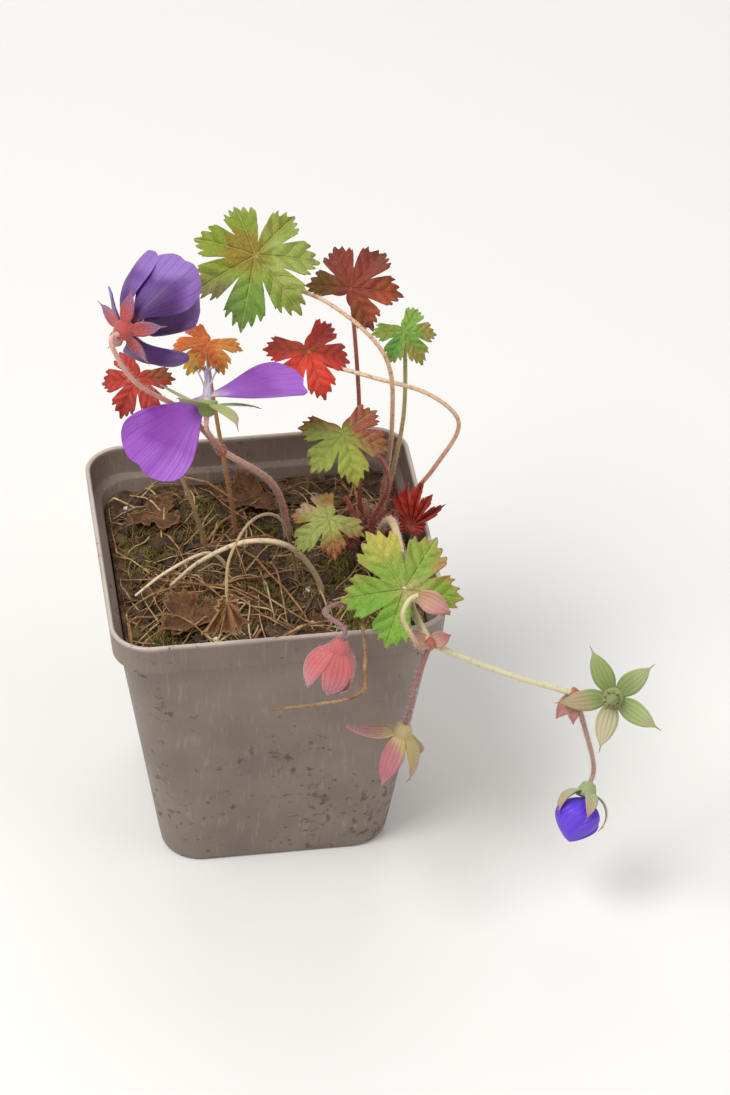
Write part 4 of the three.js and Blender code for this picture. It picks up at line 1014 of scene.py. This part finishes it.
tubes = [  # piece, material, and its paths with their radii
    ("trailingStem", stemMaterial("paleTrailingStem", "#a2573f", "#cfc08e", "#b0705a"),
     [("main", [(0, 1.2), (0.3, 1.05), (1, 1.0)]), ("youngLeaf", [(0, 0.7), (1, 0.6)])]),
    ("trailingRunner", stemMaterial("creamRunner", "#c9c39c", "#d0c8a2", "#b3a380"),
     [("runner", [(0, 1.0), (0.1, 0.85), (0.9, 0.8), (1, 1.0)])]),
    ("mauvePedicels", stemMaterial("mauvePedicel", "#96645a", "#8a5f5c", "#6e4244"),
     [("toUpper", [(0, 0.7), (0.85, 0.6), (1, 0.9)]), ("toLower", [(0, 0.8), (0.85, 0.65), (1, 0.95)])]),
    ("pinkPedicels", stemMaterial("palePinkPedicel", "#b58a78", "#b08878", "#94645a"),
     [("toStar", [(0, 0.8), (0.8, 0.65), (1, 0.9)]), ("toBud", [(0, 0.8), (0.85, 0.62), (1, 0.9)])]),
    ("dryStyle", litterMaterial("driedStyle", ("#5e4030", "#8a6648", "#a98a62"), 330.0, 0.75, 0.0002),
     [("dryStyle", [(0, 0.42), (0.3, 0.5), (0.5, 0.72), (0.75, 0.55), (0.92, 0.4), (1, 0.15)])]),
]
for name, material, paths in tubes:
    bm = bmesh.new()
    for path, radii in paths:
        addTube(bm, smoothPath(trailing[path]), radii, 3)
    if name == "trailingStem":
        for place, size in ((forks["trailing"], 1.8), (forks["lower"], 1.75), (forks["end"], 1.6)):
            addBlob(bm, place, (size, size, size), 3, 0.25, size)
    finishPiece(bm, name, material, ["trailing_stem"], "trailing_stem")

downyWays = ("main", "youngLeaf", "runner", "toUpper", "toLower", "toStar", "toBud")
downs = [  # piece, slot, seed, and each path with the stem's radius at its foot and tip
    ("flowerStalkDown", "flower_stalk", 80, [(path, 0.9, 0.75) for path, _ in flowerStalks]),
    ("trailingStemDown", "trailing_stem", 90,
     [(trailing[way], 1.0 if way == "main" else 0.8, 0.8) for way in downyWays]),
    ("leafStalkDown", "leaf_green", 100, [(leaf["stalk"], 0.7, 0.6) for leaf in leaves.values()]),
]
kinds = hairRings()
for name, slotName, seed, paths in downs:
    bm = bmesh.new()
    for i, (path, foot, tip) in enumerate(paths):
        addDownAlong(bm, kinds, smoothPath(path), [(0, foot), (1, tip)], seed + i)
    finishPiece(bm, name, silveryDown, (), slotName)

bracts = [  # where each sits, where its tip and its face point, and its fold along the middle
    dict(centre=forks["lower"], towards=(0.75, -0.3, 0.6), face=(-0.4, -0.8, 0.4), length=6.5, width=4.4),
    dict(centre=forks["lower"], towards=(-0.7, -0.3, 0.6), face=(0.1, -0.8, 0.6), length=6.5, width=4.4),
    dict(centre=trailing["youngLeaf"][-1], towards=(0.8, -0.3, -0.4), face=(-0.1, -0.8, 0.6), length=9.5,
         width=5.6, fold=0.12),
    dict(centre=forks["end"], towards=(-0.6, -0.3, -0.7), face=(-0.3, -0.8, 0.5), length=8, width=4.2),
    dict(centre=forks["end"], towards=(-0.1, -0.4, -0.9), face=(0, -0.9, 0.4), length=8, width=4.2),
]
bm = bmesh.new()
for i, bract in enumerate(bracts):

    def bractPlace(x, y, raised):
        return Vector((x, y, 0.02 * y * y + bract.get("fold", 0.06) * x * x + raised))

    addBlade(bm, dict(length=bract["length"], width=bract["width"], ruffle=0.25, seed=i), bractPlace, 10, 16,
             False, placeFrame(bract["centre"], bract["face"], bract["towards"]))
finishPiece(bm, "forkBracts", sepalMaterial("salmonBract", "#a8825e", "#bb8e76", "#b07470", "#8e5e4e"),
            ["trailing_stem"], "trailing_stem", solidify=0.3)
print("stems made")


# pot

pot = dict(height=88, rimHalf=45, band=9, step=1.6, baseHalf=31.5, wall=1.2, floor=1.6, corner=11,
           perCorner=14, perSide=10, holes=8, holeRadius=3.6, holeReach=21, holeStagger=1.15, drillDepth=8)


def innerHalf(z):
    # half the width inside the pot at a height
    ledge = pot["height"] - pot["band"]
    top = pot["rimHalf"] - pot["step"] - 2 * pot["wall"]
    bottom = pot["baseHalf"] - pot["wall"]
    return pot["rimHalf"] - pot["wall"] - 0.6 if z > ledge else bottom + (top - bottom) * z / ledge


def roundedSquare(half, corner, z):
    # a ring of places round a square with round corners
    places = []
    reach = half - corner
    for side in range(4):
        turn = Matrix.Rotation(side * math.pi / 2, 3, "Z")
        for i in range(pot["perCorner"] + 1):
            angle = i / pot["perCorner"] * math.pi / 2
            x, y = reach + corner * math.cos(angle), reach + corner * math.sin(angle)
            places.append(turn @ Vector((x, y, z)))
        for i in range(1, pot["perSide"] + 1):
            across = reach - 2 * reach * i / (pot["perSide"] + 1)
            places.append(turn @ Vector((across, half, z)))
    return places


def raiseRings(bm, rings):
    # one ring of vertices, extruded from each ring of places to the next
    number = bm.verts.layers.int.get("number") or bm.verts.layers.int.new("number")
    made = bmesh.ops.create_circle(bm, segments=len(rings[0]), radius=1)["verts"]
    made.sort(key=lambda vert: math.atan2(vert.co.y, vert.co.x) % (2 * math.pi))
    for i, vert in enumerate(made):
        vert[number] = i
        vert.co = rings[0][i]
    firstEdges = edges = [edge for edge in bm.edges if edge.verts[0] in made and edge.verts[1] in made]
    for ring in rings[1:]:
        grown = bmesh.ops.extrude_edge_only(bm, edges=edges)["geom"]
        fresh = {part for part in grown if isinstance(part, bmesh.types.BMVert)}
        for vert in fresh:
            vert.co = ring[vert[number]]
        edges = [part for part in grown if isinstance(part, bmesh.types.BMEdge)
                 and part.verts[0] in fresh and part.verts[1] in fresh]
    return firstEdges, edges


def closeEnds(bm, firstEdges, lastEdges):
    for edges in (firstEdges, lastEdges):
        bmesh.ops.edgeloop_fill(bm, edges=edges)
    bmesh.ops.recalc_face_normals(bm, faces=bm.faces)
    sortFaces(bm)


top, rim, base, wall = pot["height"], pot["rimHalf"], pot["baseHalf"], pot["wall"]
ledge = top - pot["band"]
neck = innerHalf(ledge) + wall
outer, inner = pot["corner"], pot["corner"] - wall
profile = [  # half width, corner radius and height, up the outside, over the lip and down to the floor
    (base - 1.2, outer - 1.2, 0), (base - 0.4, outer - 0.4, 0.3), (base, outer, 1.2), (base + 0.75, outer, 6),
    (neck - 0.05, outer, ledge - 1.6), (neck + 0.1, outer, ledge - 1.15), (rim - 1.1, outer, ledge - 0.35),
    (rim - 0.65, outer, ledge + 0.1), (rim - 0.6, outer, ledge + 0.7), (rim - 0.1, outer, top - 1.2),
    (rim, outer, top - 0.8), (rim, outer, top - 0.35), (rim - 0.35, outer - 0.35, top),
    (rim - wall + 0.35, inner, top), (rim - wall, inner, top - 0.35), (rim - wall - 0.6, inner, ledge + 1.4),
    (rim - wall - 0.9, inner, ledge + 0.7), (innerHalf(ledge) + 0.3, inner, ledge + 0.1),
    (innerHalf(ledge), inner, ledge - 0.4), (innerHalf(40), inner, 40),
    (innerHalf(pot["floor"]), inner, pot["floor"]),
]
bm = bmesh.new()
bottomEdges, floorEdges = raiseRings(bm, [roundedSquare(*ring) for ring in profile])
closeEnds(bm, bottomEdges, floorEdges)
potPiece = finishPiece(bm, "potShell", potMaterial(), ["pot"], "pot_plastic")

# drainage holes, every other one further out
cutter = bmesh.new()
for i in range(pot["holes"]):
    angle = i * 2 * math.pi / pot["holes"]
    reach = pot["holeReach"] * (pot["holeStagger"] if i % 2 else 1)
    drill = Matrix.Translation((reach * math.cos(angle), reach * math.sin(angle), 0))
    bmesh.ops.create_cone(cutter, cap_ends=True, segments=32, radius1=pot["holeRadius"],
                          radius2=pot["holeRadius"], depth=pot["drillDepth"], matrix=drill)
bmesh.ops.scale(cutter, vec=(mm, mm, mm), verts=cutter.verts)
drills = bpy.data.objects.new("drills", keepMesh(cutter, "drills"))
bpy.context.collection.objects.link(drills)
holes = potPiece.modifiers.new("holes", "BOOLEAN")
holes.object = drills
holes.operation = "DIFFERENCE"
holes.solver = "EXACT"
bpy.context.view_layer.update()
drilled = bpy.data.meshes.new_from_object(potPiece.evaluated_get(bpy.context.evaluated_depsgraph_get()))
potPiece.modifiers.clear()
potPiece.data = drilled
bpy.data.objects.remove(drills)
potPiece.data.set_sharp_from_angle(angle=math.radians(40))
print("pot made")


# soil, its litter and the crown

soil = dict(level=76, ripple=1.4, mound=2.2, crown=(30.5, 6), rings=46, gap=0.3, sunk=0.3)


def soilHeight(x, y):
    # the soil's large form: gentle waves, and a mound under the crown
    toCrown = (x - soil["crown"][0]) ** 2 + (y - soil["crown"][1]) ** 2
    return (soil["level"] + soil["ripple"] * math.sin(0.11 * x + 0.8) * math.cos(0.13 * y - 0.4)
            + 0.7 * math.sin(0.33 * x + 0.21 * y) + soil["mound"] * math.exp(-toCrown / 260))


def crumbs(x, y):
    # the rough surface of the mix: lumps of 5 mm, crumbs of 1.5 mm
    place = Vector((x, y, 4.0))
    lumps = noise.noise(place * 0.22) * 1.3
    crumb = noise.noise(place * 0.75) * 0.8
    return lumps + crumb + noise.noise(place * 1.9) * 0.35


def surface(x, y):
    return soilHeight(x, y) + crumbs(x, y) - soil["sunk"]


bm = bmesh.new()
rings = [roundedSquare(innerHalf(z) - soil["gap"], inner, z) for z in (pot["floor"] + soil["gap"], 30, 60)]
outline = roundedSquare(innerHalf(soil["level"]) - soil["gap"], inner, soil["level"])
for i in range(soil["rings"]):
    share = 1 - i / (soil["rings"] - 0.5)
    places = [(place.x * share, place.y * share) for place in outline]
    rings.append([Vector((x, y, surface(x, y))) for x, y in places])
bottomEdges, topEdges = raiseRings(bm, rings)
closeEnds(bm, bottomEdges, topEdges)
peat = litterMaterial("mossyPottingMix", ("#2e2017", "#4f3723", "#6e5132", "#857044"), 260.0, 0.95, 0.0009,
                      (0.34, 0.46, 0.56, 0.68))
finishPiece(bm, "pottingMix", peat, ["soil"], "potting_mix")

crown = dict(
    centre=(30.5, 6, 77), radii=(8, 8.2, 6), knobs=4, knob=(3.8, 3.6, 4.2), seed=43,
    stubs=dict(count=20, reach=(1.5, 5.5), lean=(1.5, 6.5), height=(4, 11), tip=(0.4, 0.75)),
    scales=dict(count=18, reach=(2.5, 7), length=(5, 8), width=(2, 3.2), rise=(0.4, 1.3)),
)
bm = bmesh.new()
addBlob(bm, crown["centre"], [radius * 0.86 for radius in crown["radii"]], 4, 0.2, 2)
for i in range(crown["knobs"]):
    angle = i / crown["knobs"] * 2 * math.pi + 0.4
    reach = 0.5 + 0.12 * chance(3, i)
    shares = (reach * math.cos(angle), reach * math.sin(angle), 0.28)
    place = [at + radius * share for at, radius, share in zip(crown["centre"], crown["radii"], shares)]
    addBlob(bm, place, crown["knob"], 3, 0.3, i)
bark = litterMaterial("scalyCrownBark", ("#2f1712", "#5c2a1f", "#8a4634", "#b07a5a"), 420.0, 0.8, 0.0006,
                      (0.34, 0.46, 0.56, 0.7))
finishPiece(bm, "crownKnobs", bark, ["rootstock"], "crown")

rng = random.Random(crown["seed"])


def onCrown(reaches, raised):
    # a chance place on the crown, with the way outwards from its middle
    angle, reach = rng.uniform(0, 2 * math.pi), rng.uniform(*reaches)
    out = Vector((math.cos(angle), math.sin(angle), 0))
    return Vector(crown["centre"]) + out * reach + Vector((0, 0, raised)), out


def scalePlace(x, y, raised):
    return Vector((x, y, 0.07 * x * x - 0.02 * y * y + raised))


# old leaf bases, cut back to red stubs
bm = bmesh.new()
stubs = crown["stubs"]
for _ in range(stubs["count"]):
    start, out = onCrown(stubs["reach"], 2.5)
    lean, tall = rng.uniform(*stubs["lean"]), rng.uniform(*stubs["height"])
    path = [start + out * lean * aside + Vector((0, 0, tall * up))
            for aside, up in ((0, 0), (0.4, 0.6), (1, 1))]
    addTube(bm, smoothPath(path, 4), [(0, 1.1), (0.3, 0.8), (1, rng.uniform(*stubs["tip"]))], 2)
finishPiece(bm, "crownStubs", stemMaterial("redLeafBase", "#7c2a22", "#b04c3e", "#5a1f1a"), ["rootstock"],
            "crown")

# the brown papery scales between them
bm = bmesh.new()
scales = crown["scales"]
for i in range(scales["count"]):
    start, out = onCrown(scales["reach"], 3.5)
    shape = dict(length=rng.uniform(*scales["length"]), width=rng.uniform(*scales["width"]), ruffle=0.3,
                 seed=i)
    tip = out * 0.7 + Vector((0, 0, rng.uniform(*scales["rise"])))
    addBlade(bm, shape, scalePlace, 6, 8, False, placeFrame(start, -out + Vector((0, 0, 0.5)), tip))
finishPiece(bm, "crownScales", sepalMaterial("paperyCrownScale", "#6a2e24", "#93503c", "#b08264", "#5a281e"),
            ["rootstock"], "crown", solidify=0.25)
print("soil made")


def onSoil(rng, margin=4.0):
    # a chance place on the soil, inside the pot's walls
    half = innerHalf(soil["level"]) - margin
    while True:
        x, y = rng.uniform(-half, half), rng.uniform(-half, half)
        overX, overY = abs(x) - (half - inner), abs(y) - (half - inner)
        if overX <= 0 or overY <= 0 or math.hypot(overX, overY) < inner:
            return x, y, surface(x, y)


threads = dict(  # lengths, radii and rises from the ground as (least, most), and the turn at each fifth
    soilFibres=dict(count=440, seed=11, length=(6, 18), radius=(0.14, 0.3), rise=(0.3, 2.4), curl=0.7,
                    stuff=("brownRootFibre", ("#4a3222", "#7a5a38", "#a5875a"), 300.0, 0.8, 0.0001)),
    soilStraws=dict(count=90, seed=12, length=(8, 24), radius=(0.22, 0.42), rise=(0.4, 3.2), curl=0.25,
                    stuff=("paleStraw", ("#8a6c44", "#b4986a", "#d0ba8e"), 200.0, 0.6, 0.0001)),
    deadStalks=dict(count=34, seed=13, length=(22, 44), radius=(0.3, 0.55), rise=(2, 9), curl=0.14, margin=8,
                    stuff=("weatheredStalk", ("#6a4028", "#94683e", "#bb9766"), 220.0, 0.7, 0.0002)),
)
for name, thread in threads.items():
    # short threads that lie on the soil, each bent by chance
    rng = random.Random(thread["seed"])
    bm = bmesh.new()
    half = innerHalf(soil["level"]) - 1.5
    for _ in range(thread["count"]):
        x, y, z = onSoil(rng, thread.get("margin", 4))
        heading = rng.uniform(0, 2 * math.pi)
        reach, rise, thick = (rng.uniform(*thread[key]) for key in ("length", "rise", "radius"))
        points = []
        for i in range(6):
            points.append(Vector((x, y, surface(x, y) + rise * math.sin(math.pi * i / 5) + 0.1)))
            heading += rng.uniform(-thread["curl"], thread["curl"])
            x = max(-half, min(half, x + math.cos(heading) * reach / 5))
            y = max(-half, min(half, y + math.sin(heading) * reach / 5))
        addTube(bm, points, [(0, thick), (1, thick * 0.5)], 0)
    finishPiece(bm, name, litterMaterial(*thread["stuff"]), (), "potting_mix")


scatters = dict(  # sizes as (least, most), and how flat each lies
    soilBark=dict(count=240, seed=21, size=(0.7, 2.2), flat=0.4,
                  stuff=("compostedBark", ("#21160f", "#3f2a1c", "#6a4a30"), 320.0)),
    soilGrit=dict(count=36, seed=22, size=(0.4, 1.0), flat=0.8,
                  stuff=("paleGrit", ("#8f887a", "#c9c4b8", "#e6e2d8"), 500.0)),
)
lumpKinds = 6
for name, scatter in scatters.items():
    # chips and grit strewn over the soil, from a few kinds of lump
    rng = random.Random(scatter["seed"])
    lumps = []
    for i in range(lumpKinds):
        one = bmesh.new()
        for vert in bmesh.ops.create_icosphere(one, subdivisions=2, radius=1)["verts"]:
            vert.co *= 1 + 0.5 * noise.noise(vert.co * 1.4 + Vector((i, 0, scatter["seed"])))
        lumps.append(keepMesh(one, "lump"))
    bm = bmesh.new()
    for i in range(scatter["count"]):
        place = Vector(onSoil(rng))
        scale = rng.uniform(*scatter["size"])
        turn = Matrix.Rotation(rng.uniform(0, 6.28), 4, "Z") @ Matrix.Rotation(rng.uniform(-0.6, 0.6), 4, "X")
        shape = Matrix.Diagonal((rng.uniform(1, 1.8) * scale, scale, scatter["flat"] * scale, 1))
        place = Matrix.Translation(place + Vector((0, 0, 0.2 * scale)))
        stamp(bm, lumps[i % lumpKinds], place @ turn @ shape)
    finishPiece(bm, name, litterMaterial(*scatter["stuff"]), (), "potting_mix", smooth=False)

# moss in loose patches: shoots of pointed leaflets about 1.5 mm long, from a few kinds of tuft
moss = dict(shoots=950, patches=13, seed=31, kinds=5, leaflets=11, leaflet=(0.9, 1.9), width=0.26, patch=4.6)
rng = random.Random(moss["seed"])
tufts = []
for _ in range(moss["kinds"]):
    one = bmesh.new()
    for _ in range(moss["leaflets"]):
        size = rng.uniform(*moss["leaflet"])
        blade = bmesh.ops.create_cone(one, segments=3, radius1=moss["width"], radius2=0.02, depth=size)
        turn = (Matrix.Translation((rng.uniform(-0.9, 0.9), rng.uniform(-0.9, 0.9), 0))
                @ Matrix.Rotation(rng.uniform(0, 6.28), 4, "Z")
                @ Matrix.Rotation(rng.uniform(0.1, 1.0), 4, "X")
                @ Matrix.Translation((0, 0, size * 0.5)) @ Matrix.Diagonal((1, 0.4, 1, 1)))
        bmesh.ops.transform(one, matrix=turn, verts=blade["verts"])
    tufts.append(keepMesh(one, "tuft"))
bm = bmesh.new()
centres = [onSoil(rng) for _ in range(moss["patches"])]
half = innerHalf(soil["level"]) - 2.5
for i in range(moss["shoots"]):
    cx, cy, cz = rng.choice(centres)
    x, y = cx + rng.gauss(0, moss["patch"]), cy + rng.gauss(0, moss["patch"])
    if max(abs(x), abs(y)) < half:
        place = Matrix.Translation((x, y, surface(x, y) - 0.1))
        stamp(bm, tufts[i % moss["kinds"]], place @ Matrix.Rotation(rng.uniform(0, 6.28), 4, "Z")
              @ Matrix.Scale(rng.uniform(0.8, 1.4), 4))
goldenMoss = litterMaterial("goldenGreenMoss", ("#4e4822", "#776f34", "#9a8a4a"), 180.0, 0.7, 0.0001)
finishPiece(bm, "soilMoss", goldenMoss, (), "potting_mix", smooth=False)
print("litter made")


# dead leaves and stalks

dryLeaf = dict(
    centre=(-15.5, -50, 106), normal=(0.2, -1, 0.15), tip=(-0.15, -0.05, -1), radius=11, seed=21, lobes=3,
    spread=36, crease=0.5, droop=0.1, wave=0.06, stalkRadii=[(0, 0.6), (0.3, 0.42), (1, 0.4)],
    stalk=[(8, -8, 68), (8, -8, 80), (2, -19, 108), (-8, -36, 120), (-14.5, -47, 117), (-15.5, -50, 110)],
)
bm = bmesh.new()
addLeafBlade(bm, dryLeaf, 40, 12, 1.6)
driedLeaf = leafMaterial("driedLeaf", leafLooks["dried"], dryLeaf["radius"], True)
finishPiece(bm, "dryLeafBlade", driedLeaf, ["dry_leaf"], "dead_leaf", solidify=0.35)
bm = bmesh.new()
addTube(bm, smoothPath(dryLeaf["stalk"] + [dryLeaf["centre"]]), dryLeaf["stalkRadii"], 3)
finishPiece(bm, "dryLeafStalk", stemMaterial("driedThreadStalk", "#8a6a44", "#b09468", "#6a4a30", 0.7),
            ["dry_leaf"], "dead_leaf")

dryStalks = dict(
    dry_stalk_long=dict(foot=0.85, way=[(14, -13, 69), (14, -13, 79), (5, -15, 95), (-6, -15.5, 98),
                                        (-18, -12, 90), (-26, -8, 79.2)]),
    dry_stalk_short=dict(foot=0.6, way=[(-10, -3, 69), (-10, -3, 79), (-15, -4, 86), (-27, -8, 84),
                                        (-36, -11, 79)]),
)
strawStem = stemMaterial("strawStalk", "#b89a70", "#dcc8a2", "#8a6a48", 0.6)
for name, stalk in dryStalks.items():
    bm = bmesh.new()
    radii = [(0, stalk["foot"]), (0.5, stalk["foot"] * 0.85), (1, stalk["foot"] * 0.6)]
    addTube(bm, smoothPath(stalk["way"]), radii, 3)
    finishPiece(bm, name + "_straw", strawStem, [name], "straw")

litterLeaf = dict(normal=(0, 0, 1), lobes=3, spread=95, cut=0.5, droop=-0.28, crease=0.05, wave=0.07)
litterLeaves = dict(
    litter_leaf_1=dict(at=(-22, -24), turn=0.4, radius=11, seed=31),
    litter_leaf_2=dict(at=(1, 31), turn=2.1, radius=10, seed=32),
    litter_leaf_3=dict(at=(-28, 24), turn=4.0, radius=9, seed=33),
)
deadLeaf = leafMaterial("crumpledDeadLeaf", leafLooks["dead"], 11, True)
for name, leaf in litterLeaves.items():
    bm = bmesh.new()
    lowCorner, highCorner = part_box(name)
    centre = (leaf["at"][0], leaf["at"][1], lowCorner.z / mm + 1.2)
    tip = (-math.sin(leaf["turn"]), math.cos(leaf["turn"]), 0)
    addLeafBlade(bm, {**litterLeaf, **leaf, "centre": centre, "tip": tip}, 40, 12, 1.4)
    finishPiece(bm, name + "_blade", deadLeaf, [name], "dead_leaf", solidify=0.35)
print("dead leaves made")


# floor, light and camera

studio = dict(
    floor="#e4e2de", floorSize=8, worldLight=0.45, aim=(0, 0, 0.08),
    lights=[  # place, size and power in watts
        ((-0.55, -0.35, 1.15), 0.6, 13.0), ((0.9, -0.5, 0.8), 0.9, 3.5), ((0.1, 0.9, 1.0), 0.9, 4.5),
    ],
)
bpy.ops.mesh.primitive_plane_add(size=studio["floorSize"], location=(0, 0, -0.0002))
floor = bpy.context.object
floor.name = "studioFloor"
floorPaint, tree, shader = newMaterial("matteStudioFloor", 0.9)
shader.inputs["Base Color"].default_value = linear(studio["floor"])
floor.data.materials.append(floorPaint)

world = bpy.data.worlds.new("softStudio")
world.use_nodes = True
world.node_tree.nodes["Background"].inputs[0].default_value = (1, 1, 1, 1)
world.node_tree.nodes["Background"].inputs[1].default_value = studio["worldLight"]
bpy.context.scene.world = world
for place, size, power in studio["lights"]:
    light = bpy.data.lights.new("softbox", "AREA")
    light.size = size
    light.energy = power
    lamp = bpy.data.objects.new("softbox", light)
    lamp.location = place
    lamp.rotation_euler = (Vector(studio["aim"]) - Vector(place)).to_track_quat("-Z", "Y").to_euler()
    bpy.context.collection.objects.link(lamp)

camera = dict(place=(-0.1145, -0.9668, 0.848), aim=(0.0262, -0.012, 0.090), lens=150, roll=0.6)
lensData = bpy.data.cameras.new("camera")
lensData.lens = camera["lens"]
lensData.sensor_width = 36
eye = bpy.data.objects.new("camera", lensData)
eye.location = camera["place"]
look = (Vector(camera["aim"]) - Vector(camera["place"])).to_track_quat("-Z", "Y")
eye.rotation_mode = "QUATERNION"
eye.rotation_quaternion = look @ Matrix.Rotation(math.radians(camera["roll"]), 3, "Z").to_quaternion()
bpy.context.collection.objects.link(eye)
bpy.context.scene.camera = eye
bpy.context.scene.view_settings.view_transform = "Standard"
